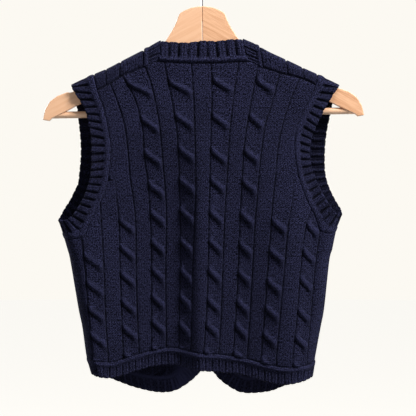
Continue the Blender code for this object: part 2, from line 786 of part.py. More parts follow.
def hanger_arm(name, sign, cutters, finish):
    """Half of the hanger: a board cut to the outline, its edges rounded, bored for bar and hook."""
    centre = SEAM_GAP / 2
    outline = [(centre, HANGER_TOP)] + list(HANGER_OUTLINE) + [(centre, HANGER_UNDER)]
    curve = bpy.data.curves.new(name, "CURVE")
    curve.dimensions = "2D"
    curve.fill_mode = "BOTH"
    curve.extrude = HANGER_THICK / 2 * MM
    line = curve.splines.new("POLY")
    line.points.add(len(outline) - 1)
    for point, (x, z) in zip(line.points, outline):
        point.co = (sign * x * MM, z * MM, 0.0, 1.0)
    line.use_cyclic_u = True
    drawn = bpy.data.objects.new(name + "_outline", curve)
    vest.objects.link(drawn)
    bpy.context.view_layer.update()
    solid = bpy.data.meshes.new_from_object(drawn.evaluated_get(bpy.context.evaluated_depsgraph_get()))
    bpy.data.objects.remove(drawn)
    mesh = bmesh.new()
    mesh.from_mesh(solid)
    bpy.data.meshes.remove(solid)
    bmesh.ops.remove_doubles(mesh, verts=mesh.verts, dist=0.00001)
    bmesh.ops.recalc_face_normals(mesh, faces=mesh.faces)
    mesh.transform(Matrix.Rotation(math.radians(90), 4, "X"))
    made = finish_piece(name, mesh, finish)
    rounding_edge = made.modifiers.new("rounded edges", "BEVEL")
    rounding_edge.width = EDGE_ROUND * MM
    rounding_edge.segments = 2
    rounding_edge.limit_method = "ANGLE"
    rounding_edge.angle_limit = math.radians(60)
    for cutter in cutters:
        bore = made.modifiers.new(cutter.name, "BOOLEAN")
        bore.operation = "DIFFERENCE"
        bore.solver = "EXACT"
        bore.object = cutter
    made.parent = hanger_frame
    return made


def hook(finish):
    """A bent wire: round the rail from its tip, back under it, and down into the wood."""
    radius = HOOK_INNER + WIRE_RADIUS
    centre = -HOOK_INNER
    route = []
    for part in even(HOOK_STEPS):
        turn = math.radians(blend(HOOK_ARC[0], HOOK_ARC[1], part))
        route.append((radius * math.cos(turn), centre + radius * math.sin(turn)))
    route += list(HOOK_NECK) + [(0.0, HOOK_STEM_FOOT)]
    curve = bpy.data.curves.new("hook", "CURVE")
    curve.dimensions = "3D"
    curve.bevel_depth = WIRE_RADIUS * MM
    curve.bevel_resolution = 2
    curve.use_fill_caps = True
    line = curve.splines.new("POLY")
    line.points.add(len(route) - 1)
    for point, (x, z) in zip(line.points, route):
        point.co = (x * MM, 0.0, z * MM, 1.0)
    curve.materials.append(finish)
    made = bpy.data.objects.new("hook", curve)
    vest.objects.link(made)
    made.parent = hanger_frame
    return made


for leftover in list(bpy.data.objects):
    bpy.data.objects.remove(leftover)
scene = bpy.context.scene
vest = bpy.data.collections.new("sweater vest on hanger")
cutting = bpy.data.collections.new("cutters")
scene.collection.children.link(vest)
scene.collection.children.link(cutting)

knit = material("navy knit", NAVY, 0.95)
rib = material("navy rib", NAVY, 0.95)
plastic = material("navy button", NAVY_BUTTON, 0.4)
wood = material("pale wood", WOOD, 0.5)
steel = material("plated steel", STEEL, 0.25, 1.0)

back_panel(knit)
back_hem_band(rib)
back_neckband(rib)
front_panel("front_left", ARM_LEFT_FRONT, ARM_LEFT_BACK, BAND_LEFT, SHOULDER_LEFT, True, knit)
front_panel("front_right", ARM_RIGHT_FRONT, ARM_RIGHT_BACK, BAND_RIGHT, SHOULDER_RIGHT, False, knit)
front_band("front_band_left", BAND_LEFT, True, rib)
front_band("front_band_right", BAND_RIGHT, False, rib)
armhole_band("armhole_band_left", ARM_LEFT_BACK, ARM_LEFT_FRONT, rib)
armhole_band("armhole_band_right", ARM_RIGHT_BACK, ARM_RIGHT_FRONT, rib)
for number, button_height in enumerate(BUTTON_HEIGHTS, start=1):
    button(f"button_{number}", button_height, plastic)

hanger_frame = bpy.data.objects.new("hanger_frame", None)
hanger_frame.rotation_euler = (0.0, HANGER_TILT, 0.0)
vest.objects.link(hanger_frame)
bar_bore = bar_of(
    "bar_bore",
    BAR_RADIUS + BAR_SOCKET,
    (-BAR_HALF - BAR_SOCKET, 0, BAR_HEIGHT),
    (BAR_HALF + BAR_SOCKET, 0, BAR_HEIGHT),
    wood,
    cutting,
)
hook_bore = bar_of(
    "hook_bore",
    WIRE_RADIUS + BAR_SOCKET,
    (0, 0, HANGER_TOP + BORE_OVERRUN),
    (0, 0, SOCKET_FOOT),
    steel,
    cutting,
)
bores = (bar_bore, hook_bore)
for bore_cutter in bores:
    bore_cutter.parent = hanger_frame
    bore_cutter.hide_render = True
    bore_cutter.display_type = "WIRE"
hanger_arm("hanger_arm_left", 1, bores, wood)
hanger_arm("hanger_arm_right", -1, bores, wood)
bar = bar_of(
    "trouser_bar", BAR_RADIUS, (-BAR_HALF, 0, BAR_HEIGHT), (BAR_HALF, 0, BAR_HEIGHT), wood
)
bar.parent = hanger_frame
hook(steel)
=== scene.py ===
import math

import bpy
import numpy as np
from mathutils import Matrix, Vector


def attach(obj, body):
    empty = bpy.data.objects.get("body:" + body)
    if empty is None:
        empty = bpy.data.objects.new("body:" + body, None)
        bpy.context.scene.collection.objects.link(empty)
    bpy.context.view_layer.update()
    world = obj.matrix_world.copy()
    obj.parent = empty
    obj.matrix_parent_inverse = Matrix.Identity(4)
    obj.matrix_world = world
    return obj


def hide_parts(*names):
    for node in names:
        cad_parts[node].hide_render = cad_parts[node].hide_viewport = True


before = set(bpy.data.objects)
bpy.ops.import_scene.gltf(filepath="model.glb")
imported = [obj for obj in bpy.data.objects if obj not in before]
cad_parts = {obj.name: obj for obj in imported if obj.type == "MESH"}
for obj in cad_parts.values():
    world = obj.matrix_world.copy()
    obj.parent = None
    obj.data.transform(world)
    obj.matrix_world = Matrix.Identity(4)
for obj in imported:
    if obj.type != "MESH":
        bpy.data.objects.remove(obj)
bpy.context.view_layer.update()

# ======== back panel
# The back of the vest is one piece of navy wool: eight rope cables between flat ribs, with a
# dark purl groove at each side of a cable. The armholes cut the outer cables off, and the
# stitches of the yoke fan out towards the shoulders.
MM = 0.001
THICK = 2.2  # thickness of the knitting itself
TUCK = 2.0  # how far a panel runs on under the roll of a band
SUNK = 1.1  # how deep its edge lies there
SEAM_SUNK = 1.9  # the same at the seams of the shoulders and the neck
FLAP = 1.2  # how far a front runs on behind the back's edge in the side seam
LOOSE = 0.09  # how far single stitches stand out or in
SEAM_GAP = 0.4
DEPTH_RIDGE = 11.6
DEPTH_BODY = 17.0
FILL_DROP = 150.0
ROUND_TOP = 9.0
ROUND_SIDE = 16.0
FOLD_START = -230.0
FOLD_FULL = -400.0
COURSE = 2.4  # height of a stitch
GROOVE = 1.5  # depth of a purl groove
GROOVE_WIDE = 0.75
# Painted shade: the inside of an armhole band is painted darker by this much.
IN_SHADE = 0.62  # how much darker the inside of an armhole is
STRAND = 4.3  # half the width of a cable's strand
STRAND_HIGH = 3.2
CROSSING = 20.0  # length over which two strands change sides
ROPE_FROM = 0.14  # where a strand starts, as a share of the cable's width
ROPE_ACROSS = 0.72  # and how far it goes across
ROPE_AHEAD = 22.0  # how far above its first crossing a cable starts

RIDGE = (  # x, z of the shoulder ridge
    (260, -234), (178, -193), (162, -185.5), (147, -178.5), (126, -169.5), (108, -160), (79, -145),
    (56, -132), (0, -101), (-58, -130), (-76, -138), (-94, -148), (-118, -159), (-141, -170),
    (-160, -178.5), (-190, -193), (-260, -226),
)
SIDES = (  # z, half-width to the wearer's left, and right
    (-650, 134, 141), (-590, 151, 154.5), (-567, 157.5, 157.5), (-526, 163.5, 165), (-499, 169, 170),
    (-435, 180, 177), (-419, 184, 181), (-402, 189, 184.5), (-387, 193, 188), (-379, 197, 191),
    (-371, 205, 195), (-300, 276, 266),
)
FOLDS = (  # x, swell of the hanging folds at the hem, back and front
    (200, 0, 0), (172, 0.6, 0), (157, 2, 0.1), (147, 1.2, 0.3), (132, -1.6, 1.5), (116, -4.8, 2.7),
    (100, -7.4, 3.1), (83, -9, 1.7), (67, -9.6, -0.3), (50, -9.2, -2), (38, -8.6, -2.5),
    (27, -6.9, -1.5), (15, -1.8, -0.4), (5, 3.3, 0.4), (-1, 4.3, 0.7), (-9, 3.4, 0.8),
    (-24, 2.1, -0.4), (-48, 1.6, -2.5), (-56, 2, -3.2), (-64, 3, -3.1), (-73, 4.5, -2.2),
    (-81, 5.8, -1.2), (-97, 7.9, 1), (-113, 9.4, 2.6), (-122, 9.6, 2.5), (-130, 8.6, 1.8),
    (-138, 6.4, 1), (-147, 3.6, 0.5), (-155, 1, 0.2), (-176, 0, 0), (-200, 0, 0),
)
ARM_LEFT_BACK = (  # seam x, z and free edge x, z, from the underarm to the shoulder ridge
    (188, -405, 197, -379), (175, -405, 190, -379.6), (160, -401, 183, -378), (152, -384, 175, -372),
    (145, -368, 167, -360), (135, -350, 159, -345), (128, -330, 153, -328), (125, -308, 150, -312),
    (123, -282, 149, -283), (125, -264, 151, -258), (129, -243, 155, -240), (134, -223, 160, -225),
    (142, -201, 176, -199), (147, -178.5, 178, -193),
)
ARM_RIGHT_BACK = (
    (-185, -396, -195, -371), (-175, -397, -189, -371.6), (-163, -393, -184, -369),
    (-156, -375, -177, -360), (-147, -357, -166, -342), (-137, -332, -157, -323),
    (-131, -308, -151, -305), (-128, -282, -149, -287), (-130, -257, -151, -267),
    (-137, -238, -157, -252), (-144, -222, -166, -233), (-151, -207, -178, -212),
    (-157, -194, -187.5, -197.5), (-160, -178.5, -190, -193),
)
SHOULDER_LEFT = ((142, -201), (132, -195.5), (120, -189), (107, -180.5), (93, -175), (79, -169))
SHOULDER_RIGHT = ((-157, -194), (-145, -187.5), (-130, -182.5), (-114, -179), (-99, -174.5), (-85, -170))
NECK = (  # seam x, z and top x, z
    (57.8, -161, 56.3, -133.5), (42, -162.5, 42, -135), (20, -163.5, 19, -136), (-3, -164, -3, -133.5),
    (-25, -163.5, -21, -134), (-46, -162, -42, -131.5), (-64.8, -162, -58.3, -131.5),
)
HEM = (  # seam x, z and free edge x, z
    (157.5, -567, 151, -590), (145, -571, 141, -593.5), (123, -573, 123, -595), (102, -567, 102, -590),
    (74, -559, 74, -581), (49, -554, 49, -577), (32, -554, 32, -578), (6, -560, 6, -584),
    (-26, -562, -26, -586.5), (-58, -567, -58, -590), (-86, -574, -86, -598), (-114, -579, -114, -603),
    (-142, -577, -139, -599), (-157.5, -571, -154, -594),
)
# Purl grooves of the back by height, from the wearer's left to right: z, then the x of the sides
# of the cables 1 to 8. Above the underarms the fourth from each side lies under an armhole band.
BACK_GROOVES = (
    (-163, 171, 158, 152, 135, 120, 79, 50, 13, -14, -52, -79, -111, -144, -167, -175, -184),
    (-188, 171, 154, 148, 126, 104, 69.5, 45.5, 11.4, -14.8, -48, -74.3, -105.5, -134, -161, -175, -184),
    (-215, 171, 150, 139, 115, 89.8, 62.7, 39.8, 9.7, -15, -44.3, -69.3, -98.5, -122.4, -149.5, -172, -184),
    (-249, 171, 147, 129.7, 104.6, 80.5, 56.7, 34, 8.7, -14, -40.3, -63, -88, -111.7, -135, -170, -184),
    (-283, 171, 145, 125, 100, 78, 53.4, 31.1, 7.9, -13.1, -37.7, -58.6, -82.8, -105, -130, -168, -184),
    (-308, 170, 143, 127, 98, 75.5, 51.7, 30.3, 7.5, -12.6, -36.5, -57, -80.2, -102.8, -133, -166, -183),
    (-324, 169, 142, 118, 96.7, 72.6, 50.1, 29.8, 7.2, -12.2, -35.5, -56.1,
     -78.7, -101.2, -126.5, -164, -182),
    (-352, 168, 138, 115, 92.5, 71, 48.2, 29, 7.5, -11.4, -33.6, -54.4, -76.3, -98, -125, -157, -176),
    (-385, 165, 136, 112, 89.5, 69, 47.5, 28.2, 9, -10.8, -32, -53, -73.5, -95.6, -119, -144, -164.5),
    (-447, 158, 132.4, 110.6, 88.9, 67.8, 48.6, 28.1, 11, -9.7, -29.6, -50.7,
     -70.2, -90.7, -113.5, -136, -155.9),
    (-508, 153.4, 130.6, 108.6, 87.3, 67.8, 48, 29.5, 12.4, -7.5, -27.5, -47.7,
     -66.8, -86.7, -108, -131.3, -150.7),
    (-564, 148, 127, 106.4, 84.6, 67.8, 47.7, 29.9, 13.8, -3.2, -24, -43.8,
     -63, -82.1, -102.7, -125.1, -145.6),
)
BACK_CROSSINGS = (  # z of each crossing of the cables 1 to 8, from the top
    (-435, -471.5, -507, -542.5),
    (-386, -422.5, -459, -497, -532.5),
    (-198.5, -247.5, -293.5, -336.5, -375.5, -415, -452.5, -489.5, -523.5),
    (-197, -243, -287.5, -330.5, -372, -414, -454, -489.5, -527.5),
    (-194, -243, -290.5, -330.5, -374, -414, -454, -494, -527.5),
    (-194, -243, -290.5, -332, -376, -417.5, -456, -496, -529),
    (-386, -426.5, -468, -504.5, -540),
    (-391, -428, -466, -508.5, -545),
)
SEAM_UNDER = -308.0  # height where the grooves beside the cables 2 and 7 meet the armhole seams


def smooth(value):
    value = np.clip(value, 0.0, 1.0)
    return value * value * (3.0 - 2.0 * value)


def blend(a, b, share):
    return a + (b - a) * share


def curve(table, first=0.0, last=None, count=400):
    """Rows on a smooth curve through all rows of a table, between two of its stations."""
    rows = np.array(table, float)
    top = len(rows) - 1
    places = np.linspace(first, top if last is None else last, count + 1)
    start = np.minimum(places.astype(int), top - 1)
    part = (places - start)[:, None]
    a, b, c, d = (rows[np.clip(start + i, 0, top)] for i in (-1, 0, 1, 2))
    square = part**2
    cube = part**3
    return (
        b * (2 * cube - 3 * square + 1)
        + (c - a) * 0.5 * (cube - 2 * square + part)
        + c * (3 * square - 2 * cube)
        + (d - b) * 0.5 * (cube - square)
    )


RIDGE_LINE = curve(RIDGE)[::-1]
SIDE_LINE = curve(SIDES)
FOLD_LINE = curve(FOLDS)[::-1]


def ridge_height(x):
    return np.interp(x, RIDGE_LINE[:, 0], RIDGE_LINE[:, 1])


def side_x(z, x):
    left = np.interp(z, SIDE_LINE[:, 0], SIDE_LINE[:, 1])
    right = np.interp(z, SIDE_LINE[:, 0], SIDE_LINE[:, 2])
    return np.where(x > 0, left, right)


def inset_of(x, z):
    """Distance in from the side seams."""
    return side_x(z, x) - np.abs(x)


def rounding(value):
    return 1.0 - (1.0 - np.minimum(value, 1.0)) ** 2


def depth_squared(x, z):
    """Square of half the garment's depth, which ends at the shoulder ridge and the side seams."""
    drop = ridge_height(x) - z
    depth = blend(DEPTH_RIDGE, DEPTH_BODY, smooth(drop / FILL_DROP))
    return depth**2 * rounding(drop / ROUND_TOP) * rounding(inset_of(x, z) / ROUND_SIDE)


def fold_swell(x, z, side):
    back = np.interp(x, FOLD_LINE[:, 0], FOLD_LINE[:, 1])
    front = np.interp(x, FOLD_LINE[:, 0], FOLD_LINE[:, 2])
    down = smooth((FOLD_START - z) / (FOLD_START - FOLD_FULL))
    return np.where(side > 0, back, front) * smooth(inset_of(x, z) / ROUND_SIDE) * down


def on_garment(x, z, side, lift):
    """Points on the garment's surface by their place seen from behind; side is 1 back, -1 front."""
    step = 0.4
    half = np.sqrt(np.maximum(depth_squared(x, z), 0.0))
    slope_x = (depth_squared(x + step, z) - depth_squared(x - step, z)) / (2 * step)
    slope_z = (depth_squared(x, z + step) - depth_squared(x, z - step)) / (2 * step)
    swell = fold_swell(x, z, side)
    swell_x = (fold_swell(x + step, z, side) - fold_swell(x - step, z, side)) / (2 * step)
    y = side * np.maximum(half + swell, SEAM_GAP / 2)
    across = 2 * side * half
    normal = np.stack([-slope_x - across * side * swell_x, across, -slope_z], axis=-1)
    normal /= np.maximum(np.linalg.norm(normal, axis=-1, keepdims=True), 1e-9)
    return np.stack([x, y, z], axis=-1) + normal * lift[..., None]


def knit_face(patch, lift, relief):
    """One face of a patch of knitting: a grid whose points are laid on the garment."""
    rows, columns = patch["x"].shape
    bpy.ops.mesh.primitive_grid_add(x_subdivisions=columns - 1, y_subdivisions=rows - 1, size=2)
    made = bpy.context.object
    mesh = made.data
    flat = np.empty(len(mesh.vertices) * 3)
    mesh.vertices.foreach_get("co", flat)
    flat = flat.reshape(-1, 3)
    j = np.rint((flat[:, 0] + 1) / 2 * (columns - 1)).astype(int)
    k = np.rint((flat[:, 1] + 1) / 2 * (rows - 1)).astype(int)
    points = on_garment(patch["x"], patch["z"], patch["side"], lift) * MM
    if patch.get("flap"):
        points[:, 0] += np.array([-FLAP * np.sign(patch["x"][0, 0]), FLAP, 0.0]) * MM
    if patch.get("ring"):
        points[:, 0] = points[:, -1] = (points[:, 0] + points[:, -1]) / 2
    mesh.vertices.foreach_set("co", points[k, j].ravel())
    corners = np.empty(len(mesh.loops), int)
    mesh.loops.foreach_get("vertex_index", corners)
    stitches = np.stack([patch["wale"][k, j], patch["course"][k, j]], axis=-1)
    mesh.uv_layers[0].data.foreach_set("uv", stitches[corners].astype(np.float32).ravel())
    shade = mesh.attributes.new("relief", "FLOAT", "POINT")
    shade.data.foreach_set("value", relief[k, j].astype(np.float32))
    mesh.update()
    return made


def joined(parts):
    """Makes one object of several; the first one takes in the others."""
    bpy.ops.object.select_all(action="DESELECT")
    for part in parts:
        part.select_set(True)
    bpy.context.view_layer.objects.active = parts[0]
    bpy.ops.object.join()
    return parts[0]


def knit_piece(name, patches, finish, node):
    """A closed wall of knitting from patches; its thickness runs out at its edges, so they are round."""
    faces = []
    for patch in patches:
        for key in ("side", "lift", "edge", "wale", "course"):
            patch[key] = np.broadcast_to(np.asarray(patch[key], float), patch["x"].shape)
        lift = patch["lift"]
        bulge = patch.get("bulge", 0.0)
        # Painted light: the wool gets painted shade down in a groove and a painted highlight on a rope.
        # Inside, a groove stands out, so it and the rolled ridge get a painted highlight, and the inside of
        # an armhole band gets painted shade all over.
        outside_painted_light = np.clip((lift + 1.3) / 1.5, 0.0, 1.0) - 1.0 + np.clip((lift - 0.9) / 1.8, 0.0, 1.0)
        inside = 0.2 + 3.3 * np.clip((-lift - 0.1) / 1.2, 0.0, 1.0) + 1.6 * bulge
        if patch.get("ring"):
            inside = 0.1 * inside - IN_SHADE
        half = 0.5 * THICK * np.sqrt(rounding(patch["edge"] / (0.6 * THICK)))
        middle = lift - 0.5 * THICK
        faces.append(knit_face(patch, middle + half, outside_painted_light))
        faces.append(knit_face(patch, middle - half - bulge, inside))
    made = joined(faces)
    made.name = name
    made.data.name = name
    bpy.ops.object.mode_set(mode="EDIT")
    bpy.ops.mesh.select_all(action="SELECT")
    bpy.ops.mesh.remove_doubles(threshold=0.000002)
    bpy.ops.mesh.normals_make_consistent(inside=False)
    bpy.ops.object.mode_set(mode="OBJECT")
    made.data.shade_smooth()
    made.data.materials.append(finish)
    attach(made, "root")
    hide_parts(node)
    return made


def painted(name, base, roughness):
    """A plain material, its node tree and its shader, ready for more nodes."""
    made = bpy.data.materials.new(name)
    made.use_nodes = True
    shader = made.node_tree.nodes["Principled BSDF"]
    shader.inputs["Base Color"].default_value = base
    shader.inputs["Roughness"].default_value = roughness
    return made, made.node_tree, shader


def add_node(tree, kind, vector=None, **inputs):
    """A new node with values for its inputs, and a socket for its vector input."""
    new = tree.nodes.new("ShaderNode" + kind)
    for key, value in inputs.items():
        new.inputs[key.replace("_", " ")].default_value = value
    if vector is not None:
        tree.links.new(vector, new.inputs["Vector"])
    return new


def calculate(tree, operation, first, second=None, clamp=False):
    """The result of a sum of two sockets or numbers, as a socket."""
    new = add_node(tree, "Math")
    new.operation = operation
    new.use_clamp = clamp
    for socket, value in zip(new.inputs, (first, second)):
        if isinstance(value, (int, float)):
            socket.default_value = value
        elif value is not None:
            tree.links.new(value, socket)
    return new.outputs[0]


def mixed(tree, share, first, second):
    """A colour that turns from the first, a colour or a socket, to the second, a colour."""
    new = add_node(tree, "Mix")
    new.data_type = "RGBA"
    tree.links.new(share, new.inputs[0])
    if isinstance(first, tuple):
        new.inputs[6].default_value = first
    else:
        tree.links.new(first, new.inputs[6])
    new.inputs[7].default_value = second
    return new.outputs[2]


def raised(tree, shader, height, strength, distance):
    """Gives a material its fine bumps."""
    bump = add_node(tree, "Bump", Strength=strength, Distance=distance)
    tree.links.new(height, bump.inputs["Height"])
    tree.links.new(bump.outputs[0], shader.inputs["Normal"])


def wool(name, bright, sheen):
    """Knitted wool: V-shaped stitches by the piece's UV map and loose fibres, with painted shade between the
    stitches and in the grooves, and painted highlight on the ropes.
    """
    made, tree, shader = painted(name, bright, 0.92)

    def work(operation, first, second=None, clamp=False):
        return calculate(tree, operation, first, second, clamp)

    def tint(colour, share):
        return tuple(share * c for c in colour[:3]) + (1.0,)

    places = add_node(tree, "UVMap")
    places.uv_map = "UVMap"
    parts = add_node(tree, "SeparateXYZ", places.outputs[0])
    wale, course = parts.outputs[0], parts.outputs[1]
    aside = work("MULTIPLY", work("ABSOLUTE", work("SUBTRACT", work("FRACT", wale), 0.5)), 2.0)
    along = work("FRACT", work("SUBTRACT", course, work("MULTIPLY", aside, 0.6)))
    leg = work("SUBTRACT", work("MULTIPLY", along, 2.0), 1.0)
    leg = work("SUBTRACT", 1.0, work("POWER", work("ABSOLUTE", leg), 2.0))
    between = work("SUBTRACT", 1.0, work("MULTIPLY", work("POWER", aside, 5.0), 0.85))
    stitch = work("MULTIPLY", leg, between)

    where = add_node(tree, "TexCoord").outputs["Object"]
    fibre = add_node(tree, "TexNoise", where, Scale=1500.0, Detail=2.0, Roughness=0.6).outputs[0]
    broad = add_node(tree, "TexNoise", where, Scale=30.0, Detail=2.0, Roughness=0.5).outputs[0]
    streaks = add_node(tree, "CombineXYZ")
    tree.links.new(work("MULTIPLY", wale, 3.5), streaks.inputs[0])
    tree.links.new(work("MULTIPLY", course, 0.9), streaks.inputs[1])
    patchy = add_node(tree, "TexNoise", streaks.outputs[0], Scale=1.0, Detail=3.0, Roughness=0.7).outputs[0]

    height = work("MULTIPLY", stitch, 0.55)
    height = work("ADD", height, work("MULTIPLY", fibre, 0.5))
    height = work("ADD", height, work("MULTIPLY", patchy, 1.1))
    raised(tree, shader, height, 1.0, 0.0022)

    # The stitch tone is partly the yarn's own mottling and partly painted light: painted shade between the
    # stitches' legs that goes nearly black, and lighter fibre specks that stand for glints.
    tone = work("MULTIPLY", stitch, 0.35)
    for noise, share in ((patchy, 8.0), (fibre, 2.4), (broad, 0.5)):
        tone = work("ADD", tone, work("MULTIPLY", work("SUBTRACT", noise, 0.5), share))
    tone = work("ADD", tone, 0.22, clamp=True)
    relief = add_node(tree, "Attribute")
    relief.attribute_name = "relief"
    relief = relief.outputs["Fac"]
    colour = mixed(tree, tone, WOOL_SHADE, bright)
    # Painted shade in the grooves and all over the inside of an armhole band, painted highlight on the ropes
    # and on ribs seen from inside.
    colour = mixed(tree, work("MULTIPLY", relief, -0.85, clamp=True), colour, tint(WOOL_SHADE, 0.2))
    colour = mixed(tree, work("MULTIPLY", relief, 0.25, clamp=True), colour, tint(bright, 1.35))
    tree.links.new(colour, shader.inputs["Base Color"])
    shader.inputs["Specular IOR Level"].default_value = 0.03
    shader.inputs["Sheen Weight"].default_value = sheen
    shader.inputs["Sheen Roughness"].default_value = 0.45
    shader.inputs["Sheen Tint"].default_value = (0.35, 0.38, 0.75, 1.0)
    return made


# Near-black painted shade colour of the wool, between its stitches and down in its grooves.
WOOL_SHADE = (0.0005, 0.0006, 0.0020, 1.0)
KNIT = wool("navy cable knit wool", (0.0262, 0.0280, 0.0730, 1.0), 0.06)


def groove_x(table, number, z):
    """x of a groove at a height; the first and last numbers are the side seams."""
    rows = np.array(table, float)[::-1]
    for end, column in ((0, 1), (rows.shape[1], -1)):
        if number == end:
            return side_x(z, np.full_like(z, rows[0, column])) * np.sign(rows[0, column])
    line = curve(rows, count=300)
    return np.interp(z, line[:, 0], line[:, number])


def pillow(share, height=0.35):
    """The knitting swells a little between two grooves."""
    return height * (1 - (2 * share - 1) ** 8)


def cable_height(share, wide, z, crossings):
    """A rope of two strands; share runs across it from the viewer's left, and left goes over right."""
    heights = np.array(crossings, float)
    ahead = heights[0] + np.arange(3, 0, -1) * 39.0
    after = heights[-1] - np.arange(1, 3) * 37.0
    heights = np.concatenate([ahead, heights, after])
    turn = np.interp(-z, -heights, np.arange(len(heights)))
    nearest = np.clip(np.rint(turn).astype(int), 0, len(heights) - 1)
    below = heights[nearest] - z
    passed = below / CROSSING + 0.5
    centre = ROPE_FROM + ROPE_ACROSS * smooth(passed)
    steep = ROPE_ACROSS * 6 * np.clip(passed, 0, 1) * (1 - np.clip(passed, 0, 1)) / CROSSING * wide
    aside = (share - centre) * wide / np.sqrt(1 + steep**2)
    shown = np.exp(-((below / 12.5) ** 4)) * (1 - 0.75 * smooth((share - 0.84) / 0.14))
    half = STRAND * (0.75 + 0.35 * smooth(1.3 * passed))
    rope = STRAND_HIGH * shown * np.sqrt(np.maximum(1 - np.abs(aside / half) ** 3, 0.0))
    rope = np.where(np.abs(aside) < half, rope, -9.0)
    notch = 2.0 * np.exp(-((below / 10.5) ** 4)) * np.exp(-(((aside + half + 0.2) / 1.1) ** 2))
    dip = 0.5 * np.exp(-((below / 9.0) ** 4)) * np.exp(-(((aside - half - 0.8) / 1.8) ** 2))
    flat = pillow(share) + 0.3 * np.sin(math.pi * 2 * share) * (1 - shown)
    lean = np.where(np.abs(aside) < half, 0.5 - centre, 0.0) * shown
    return np.maximum(flat - notch - dip, rope), lean


def uneven(x, z):
    """Scattered values from -1 to 1, one for each place."""
    value = np.sin(np.round(x, 3) * 12.9898 + np.round(z, 3) * 78.233) * 4375.85
    return 2.0 * (value - np.floor(value)) - 1.0


def loosened(x, z):
    """Single stitches stand out or in a little, less where the grid of points is finer than they."""
    gap_x = np.abs(np.gradient(x, axis=1))
    gap_z = np.hypot(np.gradient(x, axis=0), np.gradient(z, axis=0))
    noise = LOOSE * uneven(x, z) * np.clip(np.minimum(gap_x, gap_z) / 1.3, 0.0, 1.0) ** 1.5
    noise[[0, -1]] = 0.0
    noise[:, [0, -1]] = 0.0
    return noise


def knit_relief(kinds, strip, share, wide, z, crossings, groove_fade, mirrored):
    """Height of the knitting over its ground, and how far its stitches lean off their column."""
    lift = np.zeros_like(z)
    lean = np.zeros_like(z)
    for number, kind in enumerate(kinds):
        here = strip == number
        s = 1 - share[here] if mirrored else share[here]
        if kind == "cable":
            first = crossings[number][0] + ROPE_AHEAD
            rope, aside = cable_height(s, wide[here], z[here], crossings[number])
            shown = smooth((first - z[here]) / 12.0)
            lift[here] = blend(pillow(s), rope, shown)
            lean[here] = aside * shown
        else:
            lift[here] = pillow(s, 0.45) - 0.1
    for number, away in ((strip, share * wide), (strip + 1, (1 - share) * wide)):
        depth = GROOVE * (0.8 + 0.45 * uneven(number + 0.0, np.round(z / 3.0)))
        lift -= depth * groove_fade(number, z) * np.exp(-((away / GROOVE_WIDE) ** 2))
    return lift, lean


CABLE_SHARES = (
    0, 0.035, 0.08, 0.14, 0.21, 0.28, 0.355, 0.43, 0.5, 0.57, 0.645, 0.72, 0.79, 0.86, 0.92, 0.965,
)
RIB_SHARES = (0, 0.045, 0.1, 0.21, 0.4, 0.6, 0.79, 0.9, 0.955)
SIDE_SHARES = (0, 0.01, 0.035, 0.08, 0.14, 0.22, 0.32, 0.44, 0.57, 0.7, 0.82, 0.92)


def strip_columns(count, last_is_side):
    """Strip number and share of it for each column of a panel, closest together at the grooves."""
    strips = []
    shares = []
    for number in range(count):
        spread = CABLE_SHARES if number % 2 else RIB_SHARES
        if number == 0:
            spread = SIDE_SHARES
        elif last_is_side and number == count - 1:
            spread = (0.0,) + tuple(1 - s for s in SIDE_SHARES[:0:-1])
        strips += [number] * len(spread)
        shares += spread
    return np.array(strips + [count - 1]), np.array(shares + [1.0])


def column_x(table, strips, shares, z):
    """x of every column at its own heights z, whose last axis runs over the columns."""
    x = np.empty_like(z)
    for number in np.unique(strips):
        here = strips == number
        left = groove_x(table, number, z[..., here])
        right = groove_x(table, number + 1, z[..., here])
        x[..., here] = blend(left, right, shares[here])
    return x


def meet(table, strips, shares, line, start):
    """Height where every column meets a line (x, z)."""
    line = line[np.argsort(line[:, 0])]
    z = np.full(len(strips), float(start))
    for _ in range(25):
        x = column_x(table, strips, shares, z)
        z = blend(z, np.interp(x, line[:, 0], line[:, 1]), 0.7)
    return z


def panel_patch(table, kinds, crossings, strips, shares, low, high, rows, side, fade, mirrored):
    """A patch of a panel between two heights of each column."""
    v = np.linspace(0.0, 1.0, rows + 1)[:, None]
    z = blend(low[None, :], high[None, :], v)
    x = column_x(table, strips, shares, z)
    across = np.broadcast_to(strips, z.shape)
    part = np.broadcast_to(shares, z.shape)
    wide = np.abs(
        column_x(table, strips, np.ones_like(shares), z) - column_x(table, strips, shares * 0, z)
    )
    lift, lean = knit_relief(kinds, across, part, wide, z, crossings, fade, mirrored)
    lift = lift + loosened(x, z)
    return {
        "x": x, "z": z, "side": side, "lift": lift, "wale": across * 8.0 + (part + lean) * 6.0,
        "course": z / COURSE, "edge": 9.0, "wide": wide,
    }


BACK_KINDS = ["rib", "cable"] * 8 + ["rib"]
back_ropes = {1 + 2 * i: line for i, line in enumerate(BACK_CROSSINGS)}
under_line = np.concatenate([curve(ARM_LEFT_BACK, 0, 7), curve(ARM_RIGHT_BACK, 0, 6)])[:, 0:2]
top_line = np.concatenate([curve(SHOULDER_LEFT), curve(NECK)[:, 0:2], curve(SHOULDER_RIGHT)[::-1]])


def back_fade(number, z):
    """The grooves beside the cables 2 and 7 come out of the armhole seams only at the underarm."""
    outer = (number == 3) | (number == 14)
    faint = (number == 0) | (number == 17)
    return np.where(faint, 0.0, np.where(outer, smooth((-330.0 - z) / 30.0), 1.0))


def beyond(line, reach):
    """A line (x, z) moved from a band's seam towards its free edge."""
    way = line[:, 2:4] - line[:, 0:2]
    return line[:, 0:2] + way / np.linalg.norm(way, axis=1, keepdims=True) * reach


def distance_to(x, z, line):
    """Distance of each point from a dense line (x, z)."""
    nearest = np.full(x.shape, 1e9)
    for px, pz in line:
        nearest = np.minimum(nearest, (x - px) ** 2 + (z - pz) ** 2)
    return np.sqrt(nearest)


